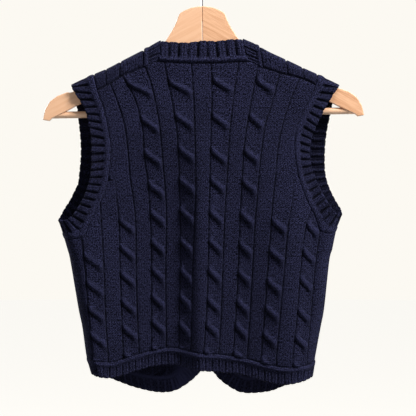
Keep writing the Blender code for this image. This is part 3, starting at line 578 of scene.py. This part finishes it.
def tucked(patch, low, high, left, right, lines, corners=(), behind=()):
    """Lets a patch's edges run on under the bands: they sink, and the wall ends in them."""
    x, z = patch["x"], patch["z"]
    distance = np.full(x.shape, 9.0)
    for edge, axis, at_end in ((low, 0, False), (high, 0, True), (left, 1, False), (right, 1, True)):
        if edge is None:
            continue
        step = np.hypot(np.diff(x, axis=axis), np.diff(z, axis=axis))
        start = np.zeros_like(np.take(x, [0], axis))
        if at_end:
            step = np.flip(step, axis)
        away = np.concatenate([start, np.cumsum(step, axis)], axis)
        if at_end:
            away = np.flip(away, axis)
        distance = np.minimum(distance, np.where(edge, away, 9.0))
    for corner in corners:
        distance = np.minimum(distance, np.hypot(x - corner[0], z - corner[1]))
    patch["edge"] = distance
    sink = np.zeros_like(x)
    deep = np.zeros_like(x)
    sunken = [(line, SUNK, 1.0) for line in lines]
    sunken += [(line, SEAM_SUNK, patch["side"] > 0) for line in behind]
    for line, depth, here in sunken:
        near = smooth(1 - distance_to(x, z, line) / (TUCK + 1.5)) * here
        sink = np.maximum(sink, near)
        deep = np.maximum(deep, depth * near)
    share = smooth(0.15 + inset_of(x, z) / 12.0)
    patch["lift"] = patch["lift"] * (1 - sink * share) - deep * share


strips, shares = strip_columns(17, True)
middle = (strips >= 3) & ((strips < 14) | ((strips == 14) & (shares == 0.0)))
low = meet(BACK_GROOVES, strips, shares, curve(HEM)[:, 0:2], -565) - TUCK
high = meet(BACK_GROOVES, strips, shares, under_line, -390) + TUCK
high = np.where(middle, SEAM_UNDER, high)
lower = panel_patch(
    BACK_GROOVES, BACK_KINDS, back_ropes, strips, shares, low, high, 158, 1.0, back_fade, False
)
top = meet(BACK_GROOVES, strips[middle], shares[middle], top_line, -180) + TUCK / 2
upper = panel_patch(
    BACK_GROOVES, BACK_KINDS, back_ropes, strips[middle], shares[middle], high[middle], top,
    92, 1.0, back_fade, False,
)
back_lines = [beyond(curve(table), TUCK) for table in (ARM_LEFT_BACK, ARM_RIGHT_BACK, HEM)]
junctions = [(upper["x"][0, k], upper["z"][0, k]) for k in (0, -1)]
tucked(lower, True, ~middle[None, :], True, True, back_lines, junctions)
tucked(upper, None, True, True, True, back_lines, behind=[top_line[::6] + (0.0, TUCK / 2)])
back_panel = knit_piece("back_panel_knit", [lower, upper], KNIT, "back_panel")

# ======== ribbed bands
# Stitches are picked up along each raw edge of the panels, which leaves a rolled ridge there,
# and worked outwards in rib, so the ribs stand square to every edge. All are the same wool.
RIB_LENGTHS = (0, 0.05, 0.1, 0.16, 0.24, 0.33, 0.42, 0.5, 0.58, 0.67, 0.76, 0.84, 0.9, 0.95)
SEAM_STEPS = (0, 0.35, 0.9, 1.6, 2.4, 3.2, 4.0, 4.8, 5.6, 6.6, 7.8)
EDGE_STEPS = (3.6, 2.4, 1.5, 0.9, 0.45, 0.15, 0)
RIB = wool("navy ribbed wool", (0.031, 0.033, 0.085, 1.0), 0.05)


def band_line(parts):
    """Joins stretches of a band: its seam x, z, its free edge x, z, and the side they lie on."""
    rows = []
    for samples, side in parts:
        rows.append(np.column_stack([samples, np.full(len(samples), float(side))]))
    return np.concatenate(rows)


def eased(first, last, count):
    """Places from first to last that stand closest together at the last, where the cloth folds."""
    return last + np.multiply.outer((1 - np.linspace(0, 1, count + 1)) ** 2, first - last)


def rows_between(rows, places, wanted):
    """Rows at the wanted places, worked out between those that stand at other places."""
    return np.stack([np.interp(wanted, places, column) for column in rows.T], axis=1)


def stations(table, wanted):
    count = 2000
    wanted = wanted / (len(table) - 1) * count
    return rows_between(curve(table, count=count), np.arange(count + 1), wanted)


def over_ridge(table, first, last):
    """From one station straight up to the one on the ridge."""
    rows = np.array(table, float)
    return eased(rows[first], rows[last], 60)


def band(
    name, node, line, period, roll, lap=None, flap=False, closed=False, depth=1.0, second=0.38,
    trough=1.5, start=2.4,
):
    """A band of rib along a line, from its rolled seam to its free edge.

    period is the width of a rib, and roll the place, half width and height of the ridge.
    """
    middle = (line[:, 0:2] + line[:, 2:4]) / 2
    points = on_garment(middle[:, 0], middle[:, 1], line[:, 4], np.zeros(len(line)))
    length = np.concatenate([[0.0], np.cumsum(np.linalg.norm(np.diff(points, axis=0), axis=1))])
    ribs = round(length[-1] / period)
    phase = np.concatenate([i + np.array(RIB_LENGTHS) for i in range(ribs)] + [[float(ribs)]])
    wanted = phase / ribs * length[-1]
    at = rows_between(line, length, wanted)
    side = np.where(at[:, 4] >= 0, 1.0, -1.0)
    width = np.hypot(at[:, 2] - at[:, 0], at[:, 3] - at[:, 1])
    usual = float(np.median(width))
    outer = usual - np.array(EDGE_STEPS)
    count = max(2, round((outer[0] - SEAM_STEPS[-1]) / 1.9))
    steps = np.concatenate([SEAM_STEPS, np.linspace(SEAM_STEPS[-1], outer[0], count + 1)[1:], outer[1:]])
    q = np.broadcast_to(steps[:, None], (len(steps), len(phase)))
    beat = phase % 1.0
    major = np.minimum(beat, 1 - beat) * period
    minor = np.abs(beat - 0.5) * period
    number = np.floor(phase + 0.5)
    deep = 1 + 0.3 * np.sin(12.9 * number) * np.sin(3.1 * number + 1)
    grooves = 2.2 * deep * np.exp(-((major / trough) ** 2)) + 2.2 * second * np.exp(-((minor / 1.15) ** 2))
    reach = 0.55 - 0.9 * np.exp(-((major / 1.8) ** 2)) - 0.25 * np.exp(-((minor / 1.2) ** 2))
    wavy = 0.22 * np.sin(phase * 2.4 + 0.6) + 0.16 * np.sin(phase * 0.83)
    share = (q + reach * smooth(q / usual) ** 2) / usual
    x = blend(at[:, 0], at[:, 2], share)
    z = blend(at[:, 1], at[:, 3], share)
    centre, half_width, height = roll
    roll_shape = np.exp(-(((q - centre) / half_width) ** 2))
    ridge = height * roll_shape
    join = 0.5 * depth * np.exp(-(((q - centre - 1.55 * half_width) / 1.0) ** 2))
    faded = smooth((q - centre - 0.75 * half_width) / start) * (1 - 0.35 * smooth((q - 13.0) / 12.0))
    lift = -0.7 + 0.9 * smooth(q / 1.6) + ridge - join + faded * (0.5 - depth * grooves + wavy)
    lift = lift + 0.7 * LOOSE * uneven(phase * 31.7 + 0 * q, q) * smooth(q / 3.0) * smooth((usual - q) / 3.0)
    lift = np.where(lift > 0, lift * (0.3 + 0.7 * smooth(inset_of(x, z) / 14.0)), lift)
    if lap:
        lift = lift + np.where(side < 0, lap(x), 0.0)
    edge = np.minimum(q, usual - q)
    bulge = (height + 0.9) * roll_shape * smooth(q / 1.6)
    if not closed:
        to_end = np.minimum(wanted, length[-1] - wanted)[None, :]
        edge = np.minimum(edge, 2 * to_end)
        bulge = bulge * smooth(to_end / 2.0)
    patch = {
        "x": x, "z": z, "side": side[None, :], "lift": lift, "edge": edge,
        "wale": phase[None, :] * 3.0, "course": q / COURSE, "ring": closed, "flap": flap,
        "bulge": bulge,
    }
    made = knit_piece(name, [patch], RIB, node)


ARM_LEFT_FRONT = (
    (188, -405, 197, -379), (180, -393, 193.5, -372), (171, -381, 188, -362), (162, -366, 182, -353),
    (154, -351, 175, -339), (147, -336, 170, -328), (142, -321, 168.5, -316), (139, -305, 167, -302),
    (137, -286, 166, -286), (138, -267, 166.5, -267), (140, -246, 168.5, -246), (143, -220, 171.5, -221),
    (145.5, -187.5, 175, -203), (147, -178.5, 178, -193),
)
ARM_RIGHT_FRONT = (
    (-185, -396, -195, -371), (-179, -388, -193.5, -364), (-173, -380, -190, -358.5),
    (-165, -365, -184.5, -349), (-158, -349, -179.5, -339), (-150, -332, -174.5, -326),
    (-145, -313, -171.5, -311), (-143, -291, -171, -290), (-144, -271, -172, -271),
    (-146, -250, -174.5, -252), (-150, -231, -178.5, -233), (-153, -212, -182, -215),
    (-158.5, -187.5, -187.5, -202), (-160, -178.5, -190, -193),
)


def ring_line(back, front):
    last = len(back) - 1
    return band_line((
        (stations(back, eased(last - 1, 0, 400)[::-1]), 1),
        (over_ridge(back, last - 1, last), 1),
        (over_ridge(front, last - 1, last)[::-1], -1),
        (stations(front, eased(last - 1, 0, 400)), -1),
    ))


for node, line, length in (
    ("armhole_band_left", ring_line(ARM_LEFT_BACK, ARM_LEFT_FRONT), 0.53),
    ("armhole_band_right", ring_line(ARM_RIGHT_BACK, ARM_RIGHT_FRONT), 0.50),
):
    band(
        node + "_rib", node, line, 10.8, (5.0, 3.6, 1.0), closed=True, depth=1.3,
        second=0.2, trough=2.0, start=4.0,
    )
band(
    "back_hem_rib", "back_hem_band", band_line(((curve(HEM, count=900), 1),)),
    9.2, (4.1, 3.2, 1.9), depth=0.65, second=0.6,
)
band(
    "back_neck_rib", "back_neckband", band_line(((curve(NECK, count=400), 1),)),
    12.6, (4.2, 2.8, 1.9), second=0.3, trough=2.1,
)

# ======== fronts
# Two fronts in the same cables, which wrap over the shoulders to a seam on the back. Each has
# a V neck and a rounded corner at its hem, and the wearer's right front laps over the left.
BAND_LEFT = (  # seam x, z and free edge x, z: side seam, rounded corner, V neck, shoulder seam
    (157.5, -567, 151, -590), (142, -569.5, 138, -593), (127, -575, 123, -599),
    (101, -586.5, 95, -609.5), (70, -592.5, 67, -616), (50, -593, 49, -617), (41, -591, 35, -614),
    (34, -586, 21, -606), (23, -576.5, 6, -593.5), (16, -566.5, -4, -580), (10.5, -553, -12, -561),
    (7.8, -537, -16, -541), (7, -513, -17, -515), (7, -440, -17, -440), (7, -370, -17, -372),
    (10, -338, -13, -345),
    (33, -267, 10, -274), (58, -190, 35, -197), (78, -153.5, 54, -140), (79, -145, 56, -132),
    (79, -169, 57, -161),
)
BAND_RIGHT = (
    (-157.5, -571, -154, -594), (-141, -579, -138, -602), (-117, -586, -114, -609),
    (-99, -592, -96, -615.5), (-73, -594, -72, -618), (-62, -593.5, -56, -617),
    (-54, -590, -44, -612), (-43, -582, -28, -601), (-35, -573, -18, -590), (-27, -562, -8, -576),
    (-24, -550, -2, -558), (-21, -536, 3, -541), (-20, -513, 4, -515), (-20, -440, 4, -440),
    (-20, -370, 4, -372), (-22, -339, 1, -345), (-41, -267, -18, -274), (-61, -195, -38, -202),
    (-80, -149.3, -56.5, -138), (-81, -140.6, -58, -130), (-85, -170, -64, -162),
)
# Grooves of a front by height, from the side to the middle: z, then the x of each. The last
# stands on the front band's seam.
LEFT_GROOVES = (
    (-140, 168, 150, 136, 115, 79, 60, 48, 5),
    (-154, 168, 149, 134, 113, 79, 60, 47, 5),
    (-178, 168, 147.5, 131, 110, 78.5, 59, 45, 5),
    (-220, 168, 145, 125, 103.5, 78, 57.5, 40, 5),
    (-286, 168, 139, 116, 94.5, 75, 54, 33, 5),
    (-305, 168, 139.5, 115, 93.5, 74, 53, 32, 5),
    (-345, 166, 136, 113, 92, 72.5, 51.5, 30.5, 5),
    (-405, 163, 134, 112, 91, 71, 50, 29, 5),
    (-490, 157, 132, 111, 89, 69.5, 48.5, 28, 5),
    (-600, 143, 126, 106, 86, 67, 47, 27, 5),
)
RIGHT_GROOVES = (
    (-140, -180, -162, -141, -118, -81, -64, -50, -18),
    (-154, -180, -162, -141, -118, -80, -63, -49, -18),
    (-185, -178, -160.5, -139, -116, -80, -62.5, -48, -18),
    (-220, -176, -154, -132, -110, -79.5, -62, -47, -18),
    (-271, -172, -146, -124, -102, -80.5, -62, -43.5, -18),
    (-300, -172, -145, -122, -101, -81.5, -62, -43, -18),
    (-345, -170, -143, -121.5, -100, -81, -61, -42, -18),
    (-405, -166, -142, -121, -99.5, -80, -60, -41, -18),
    (-490, -161, -139, -118, -97, -78, -59, -40.5, -18),
    (-600, -146, -131, -112, -92, -74, -56, -39, -18),
)
FRONT_KINDS = ["rib", "cable"] * 4
FRONT_CROSSINGS = {
    1: (-441, -478, -516, -551),
    3: (-236, -279, -322, -363, -402, -441, -479, -516, -552),
    5: (-240, -283, -325, -366, -406, -444, -481, -518, -554),
    7: (-332, -371, -409, -447, -485, -521, -556),
}
V_START = -374.0  # height of the V neck's foot
UNDER_ARM = {"left": -305.0, "right": -300.0}  # where a front's armhole is narrowest


def under_lap(x):
    """How far the left front lies under the right one near the middle."""
    return -3.5 * smooth((50.0 - x) / 42.0)


def front_panel(name, grooves, arm, arm_back, band_table, shoulder, arm_rows):
    """A front in three patches: below its armhole, beside it, and over the shoulder."""
    wearer_left = name == "left"
    sign = 1.0 if wearer_left else -1.0
    strips, shares = strip_columns(8, False)
    joint = UNDER_ARM[name]

    def fade(number, z):
        edge = (number == 0) | (number == 8)
        return np.where(edge, 0.0, np.where(number == 2, smooth((joint - 25 - z) / 30.0), 1.0))

    def patch_between(part, low, high, rows):
        return panel_patch(
            grooves, FRONT_KINDS, FRONT_CROSSINGS, strips[part], shares[part], low, high, rows, -1.0,
            fade, wearer_left,
        )

    part = strips >= 2
    low = meet(grooves, strips, shares, curve(band_table, 0, 12, 900)[:, 0:2], -585) - TUCK
    high = meet(grooves, strips, shares, curve(arm, 0, arm_rows)[:, 0:2], -390) + TUCK
    at_joint = column_x(grooves, strips, shares, np.full((1, len(strips)), joint))[0]
    first = at_joint[part][0]
    level = blend(joint, V_START, (at_joint - first) / (at_joint[-1] - first))
    high = np.where(part, level, high)
    lower = patch_between(strips >= 0, low, high, 135)
    lower["flap"] = True

    on_shoulder = (strips[part] < 5) | ((strips[part] == 5) & (shares[part] == 0.0))
    foot = np.full(part.sum(), -160.0)
    for _ in range(25):
        foot = ridge_height(column_x(grooves, strips[part], shares[part], foot)) - ROUND_TOP
    v_line = curve(band_table, 14, 18, 600)[:, 0:2]
    into_v = meet(grooves, strips[part], shares[part], v_line, -280) + 2 * TUCK
    upper = patch_between(part, high[part], np.where(on_shoulder, foot, into_v), 110)

    across = strips[part][on_shoulder]
    along = shares[part][on_shoulder]
    start_x = upper["x"][-1, on_shoulder]
    seam = curve(shoulder)
    seam_x = np.interp(
        (start_x - start_x[0]) / (start_x[-1] - start_x[0]), np.linspace(0, 1, len(seam)), seam[:, 0],
    )
    seam_z = np.interp(seam_x * sign, seam[::-1, 0] * sign, seam[::-1, 1])
    end_drop = ridge_height(seam_x) - seam_z + TUCK / 2
    turn = np.linspace(0, math.pi / 2, 10)[1:]
    ends = [(start_x, ROUND_TOP, -1.0)]
    ends += [(start_x, ROUND_TOP * (1 - math.cos(math.pi / 2 - a)), -1.0) for a in turn]
    drops = [ROUND_TOP * (1 - np.cos(a)) for a in turn[:-1]]
    drops += [blend(ROUND_TOP, end_drop, share) for share in np.linspace(0, 1, 8)]
    ends += [(blend(start_x, seam_x, drop / end_drop), drop, 1.0) for drop in drops]
    x = np.array([row for row, _, _ in ends])
    z = np.array([ridge_height(row) - drop for row, drop, _ in ends])
    wide = np.broadcast_to(upper["wide"][-1, on_shoulder], x.shape)
    lift, _ = knit_relief(
        FRONT_KINDS, np.broadcast_to(across, x.shape), np.broadcast_to(along, x.shape), wide,
        np.maximum(z, foot.min() + 0 * z), FRONT_CROSSINGS, fade, wearer_left,
    )
    length = np.cumsum(np.hypot(np.diff(x, axis=0), np.diff(z, axis=0)), axis=0)
    wrap = {
        "x": x, "z": z, "side": np.array([[side] for _, _, side in ends]), "lift": lift + loosened(x, z),
        "wale": across * 8.0 + along * 6.0, "edge": 9.0,
        "course": (z[0] + np.concatenate([[0 * x[0]], length])) / COURSE,
    }

    lines = [
        beyond(curve(arm), TUCK), beyond(curve(arm_back, 12, 13, 60), TUCK),
        beyond(curve(band_table, 0, 20, 800), TUCK),
    ]
    seam_line = curve(shoulder, count=120) - (0.0, TUCK / 2)
    last = np.flatnonzero(on_shoulder)[-1]
    arm_corner = (upper["x"][0, 0], upper["z"][0, 0])
    v_corner = (upper["x"][-1, last], upper["z"][-1, last])
    tucked(lower, True, ~part[None, :], True, True, lines, [arm_corner])
    tucked(upper, None, ~on_shoulder[None, :], True, True, lines, [v_corner])
    tucked(wrap, None, True, True, True, lines, behind=[seam_line])
    for patch in (lower, upper):
        if wearer_left:
            patch["lift"] = patch["lift"] + under_lap(patch["x"])
    made = knit_piece(f"front_{name}_knit", [lower, upper, wrap], KNIT, "front_" + name)


front_panel("left", LEFT_GROOVES, ARM_LEFT_FRONT, ARM_LEFT_BACK, BAND_LEFT, SHOULDER_LEFT, 7)
front_panel("right", RIGHT_GROOVES, ARM_RIGHT_FRONT, ARM_RIGHT_BACK, BAND_RIGHT, SHOULDER_RIGHT, 8)


def front_band_line(table):
    last = len(table) - 1
    return band_line((
        (curve(table, 0, last - 2, 2400), -1),
        (over_ridge(table, last - 2, last - 1), -1),
        (over_ridge(table, last, last - 1)[::-1], 1),
    ))


for node, table, lap in (("front_band_left", BAND_LEFT, under_lap), ("front_band_right", BAND_RIGHT, None)):
    band(
        node + "_rib", node, front_band_line(table), 9.8, (3.6, 2.8, 1.1),
        lap=lap, flap=True, depth=0.8, second=0.6,
    )

# ======== buttons
# Five turned navy buttons close the fronts. Each has a raised rim round a dished face and four
# holes, and it is sewn through them with two bars of thread.
BUTTON_X = -6.6
BUTTON_HEIGHTS = (-380.0, -419.0, -458.0, -497.0, -536.0)
BUTTON_RADIUS = 8.0
BUTTON_THICK = 3.0
BUTTON_EDGE = 0.8
BUTTON_RIM = 2.2
BUTTON_DISH = 0.9
BUTTON_BACK = -18.5  # y of the side that lies on the band
HOLE_RADIUS = 0.95
HOLE_OFFSET = 1.75
THREAD = 0.55


def button_plastic():
    made, tree, shader = painted("navy button", (0.010, 0.012, 0.034, 1.0), 0.34)
    where = add_node(tree, "TexCoord").outputs["Object"]
    cloud = add_node(tree, "TexNoise", where, Scale=160.0, Detail=3.0, Distortion=1.5)
    ramp = add_node(tree, "ValToRGB")
    dark, light = ramp.color_ramp.elements
    dark.position = 0.35
    dark.color = (0.006, 0.007, 0.022, 1.0)
    light.position = 0.7
    light.color = (0.020, 0.024, 0.060, 1.0)
    tree.links.new(cloud.outputs[0], ramp.inputs[0])
    tree.links.new(ramp.outputs[0], shader.inputs["Base Color"])
    scuff = add_node(tree, "TexNoise", where, Scale=2400.0)
    raised(tree, shader, scuff.outputs[0], 0.12, 0.0002)
    return made


def select_only(made, kind, wanted):
    """Leaves edit mode on, with only the faces or edges selected for which wanted(part) holds."""
    bpy.ops.object.mode_set(mode="EDIT")
    bpy.ops.mesh.select_mode(type=kind)
    bpy.ops.mesh.select_all(action="DESELECT")
    bpy.ops.object.mode_set(mode="OBJECT")
    for part in made.data.polygons if kind == "FACE" else made.data.edges:
        part.select = bool(wanted(part))
    bpy.ops.object.mode_set(mode="EDIT")


def turned_button(height):
    half = BUTTON_THICK / 2
    centre = (BUTTON_X * MM, (BUTTON_BACK - half) * MM, height * MM)
    turn = (math.radians(90), 0, 0)
    bpy.ops.mesh.primitive_cylinder_add(
        vertices=64, radius=BUTTON_RADIUS * MM, depth=BUTTON_THICK * MM, location=centre, rotation=turn
    )
    made = bpy.context.object

    def on_rim(edge):
        ends = [made.data.vertices[i].co for i in edge.vertices]
        level = abs(ends[0].z - ends[1].z) < 0.01 * MM
        return level and all(abs(end.xy.length - BUTTON_RADIUS * MM) < 0.05 * MM for end in ends)

    select_only(made, "FACE", lambda face: face.normal.z > 0.9)
    bpy.ops.mesh.inset(thickness=BUTTON_RIM * MM, depth=0)
    bpy.ops.mesh.inset(thickness=BUTTON_DISH * MM, depth=-0.7 * BUTTON_DISH * MM)
    bpy.ops.mesh.inset(thickness=0.8 * MM, depth=-0.3 * BUTTON_DISH * MM)
    select_only(made, "EDGE", on_rim)
    bpy.ops.mesh.bevel(offset=BUTTON_EDGE * MM, segments=4)
    bpy.ops.object.mode_set(mode="OBJECT")
    for dx in (-HOLE_OFFSET, HOLE_OFFSET):
        for dz in (-HOLE_OFFSET, HOLE_OFFSET):
            bpy.ops.mesh.primitive_cylinder_add(
                vertices=20, radius=HOLE_RADIUS * MM, depth=3 * BUTTON_THICK * MM,
                location=(centre[0] + dx * MM, centre[1], centre[2] + dz * MM), rotation=turn,
            )
            drill = bpy.context.object
            bpy.context.view_layer.objects.active = made
            cut = made.modifiers.new("hole", "BOOLEAN")
            cut.operation = "DIFFERENCE"
            cut.solver = "EXACT"
            cut.object = drill
            bpy.ops.object.modifier_apply(modifier="hole")
            bpy.data.objects.remove(drill)
    made.data.materials.append(BUTTON_FINISH)
    threads = []
    for dx in (-HOLE_OFFSET, HOLE_OFFSET):
        bpy.ops.mesh.primitive_uv_sphere_add(
            segments=16, ring_count=10, radius=THREAD * MM,
            location=(centre[0] + dx * MM, (BUTTON_BACK - BUTTON_THICK + BUTTON_DISH) * MM, centre[2]),
        )
        thread = bpy.context.object
        thread.scale = (1.0, 1.0, (HOLE_OFFSET + 0.5) / THREAD)
        bpy.ops.object.transform_apply(location=False, rotation=False, scale=True)
        thread.data.materials.append(RIB)
        threads.append(thread)
    joined([made] + threads)
    bpy.ops.object.transform_apply(location=True, rotation=True, scale=True)
    bpy.ops.object.shade_smooth_by_angle(angle=math.radians(40))
    return made


BUTTON_FINISH = button_plastic()
pattern = turned_button(BUTTON_HEIGHTS[0])
for number, height in enumerate(BUTTON_HEIGHTS, start=1):
    if number == 1:
        sewn = pattern
    else:
        sewn = pattern.copy()
        sewn.data = pattern.data.copy()
        sewn.data.transform(Matrix.Translation((0, 0, (height - BUTTON_HEIGHTS[0]) * MM)))
        bpy.context.collection.objects.link(sewn)
    sewn.name = f"sewn_button_{number}"
    sewn.data.name = sewn.name
    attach(sewn, "root")
    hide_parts(f"button_{number}")

# ======== hanger
# The hanger's two arms are lacquered pale hardwood, glued at a centre seam, so the grain meets
# there in a chevron. A wooden bar joins their feet, and a bent chromed wire is screwed in on top.


def wood(name, grain, light, dark, contrast):
    """Lacquered wood whose grain runs along a direction (x, z)."""
    made, tree, shader = painted(name, light, 0.42)
    where = add_node(tree, "TexCoord").outputs["Object"]
    size = math.hypot(*grain)
    gx, gz = grain[0] / size, grain[1] / size
    place = add_node(tree, "CombineXYZ")
    for socket, direction, scale in ((0, (gx, 0, gz), 5.0), (1, (0, 1, 0), 40.0), (2, (gz, 0, -gx), 100.0)):
        part = add_node(tree, "VectorMath", where)
        part.operation = "DOT_PRODUCT"
        part.inputs[1].default_value = tuple(scale * d for d in direction)
        tree.links.new(part.outputs["Value"], place.inputs[socket])
    place = place.outputs[0]
    fibres = add_node(tree, "TexNoise", place, Scale=11.0, Detail=4.0, Roughness=0.65).outputs[0]
    rings = add_node(tree, "TexNoise", place, Scale=2.2, Detail=3.0, Distortion=0.4).outputs[0]
    shares = []
    for noise, low, high in ((fibres, 0.35, 0.72), (rings, 0.42, 0.66)):
        share = add_node(tree, "MapRange", From_Min=low, From_Max=high, To_Max=contrast)
        tree.links.new(noise, share.inputs["Value"])
        shares.append(share.outputs[0])
    both = calculate(tree, "ADD", *shares, clamp=True)
    tree.links.new(mixed(tree, both, light, dark), shader.inputs["Base Color"])
    raised(tree, shader, fibres, 0.15, 0.0003)
    shader.inputs["Coat Weight"].default_value = 0.15
    shader.inputs["Coat Roughness"].default_value = 0.35
    return made


def wire_metal():
    made, tree, shader = painted("chromed wire", (0.62, 0.63, 0.65, 1.0), 0.22)
    shader.inputs["Metallic"].default_value = 1.0
    where = add_node(tree, "TexCoord").outputs["Object"]
    haze = add_node(tree, "TexNoise", where, Scale=300.0, Detail=4.0)
    rough = add_node(tree, "MapRange", To_Min=0.14, To_Max=0.34)
    tree.links.new(haze.outputs[0], rough.inputs["Value"])
    tree.links.new(rough.outputs[0], shader.inputs["Roughness"])
    return made


for node, grain, light, dark, contrast in (
    ("hanger_arm_left", (-0.88, 0.47), (0.82, 0.50, 0.31, 1), (0.70, 0.37, 0.20, 1), 0.32),
    ("hanger_arm_right", (0.88, 0.47), (0.84, 0.50, 0.30, 1), (0.50, 0.22, 0.095, 1), 0.5),
    ("trouser_bar", (1.0, 0.0), (0.82, 0.51, 0.325, 1), (0.66, 0.38, 0.21, 1), 0.3),
):
    finish = wood("wood of " + node, grain, light, dark, contrast)
    bpy.data.objects[node].material_slots[0].material = finish
bpy.data.objects["hook"].material_slots[0].material = wire_metal()

# ======== camera and light
# The camera stands straight behind the vest, as the photograph's did. The main light comes from
# above and the wearer's right, across the cables and folds, and the rest is soft fill.
CAMERA = (-0.0097, 2.5, -0.3623)
BACK_Y = 0.017  # where the vest's back hangs
SEEN_WIDE = 0.5683  # how much of it the picture is wide
SENSOR = 36.0
AIM = (0.0, 0.0, -0.36)
WARM = (1.0, 0.98, 0.95)
FLOOR_Z = -1.5

scene = bpy.context.scene
bpy.ops.object.camera_add(location=CAMERA, rotation=(math.radians(90), 0, math.radians(180)))
scene.camera = bpy.context.object
scene.camera.data.sensor_width = SENSOR
scene.camera.data.lens = SENSOR * (CAMERA[1] - BACK_Y) / SEEN_WIDE

scene.view_settings.view_transform = "Standard"
world = bpy.data.worlds.new("studio")
scene.world = world
world.use_nodes = True
sky = world.node_tree
shown = sky.nodes["Background"]
shown.inputs[0].default_value = (0.973, 0.947, 0.888, 1.0)
fill = add_node(sky, "Background", Color=(0.93, 0.95, 1.0, 1.0), Strength=0.15)
path = add_node(sky, "LightPath")
either = add_node(sky, "MixShader")
sky.links.new(path.outputs["Is Camera Ray"], either.inputs[0])
sky.links.new(fill.outputs[0], either.inputs[1])
sky.links.new(shown.outputs[0], either.inputs[2])
sky.links.new(either.outputs[0], sky.nodes["World Output"].inputs[0])


def soft_light(name, place, size, power, colour):
    bpy.ops.object.light_add(type="AREA", location=place)
    lamp = bpy.context.object
    lamp.name = name
    lamp.data.size = size
    lamp.data.energy = power
    lamp.data.color = colour
    lamp.rotation_euler = (Vector(AIM) - Vector(place)).to_track_quat("-Z", "Y").to_euler()


soft_light("key", (-2.35, 1.25, 1.75), 0.8, 190, WARM)
soft_light("top", (-0.5, 0.5, 1.5), 0.6, 32, WARM)
soft_light("left fill", (2.4, 1.7, 0.5), 1.6, 11, (0.95, 0.97, 1.0))
soft_light("low fill", (-0.5, 2.3, -1.15), 1.4, 6, WARM)
soft_light("front key", (2.0, -1.6, 0.5), 1.4, 95, (1.0, 0.97, 0.93))

bpy.ops.mesh.primitive_plane_add(size=40, location=(0, 0, FLOOR_Z))
floor = bpy.context.object
floor.name = "floor"
pale, _, shader = painted("pale floor", (0.9, 0.88, 0.83, 1), 0.5)
shader.inputs["Emission Color"].default_value = (0.95, 0.93, 0.88, 1)
shader.inputs["Emission Strength"].default_value = 0.87
floor.visible_diffuse = False
floor.data.materials.append(pale)
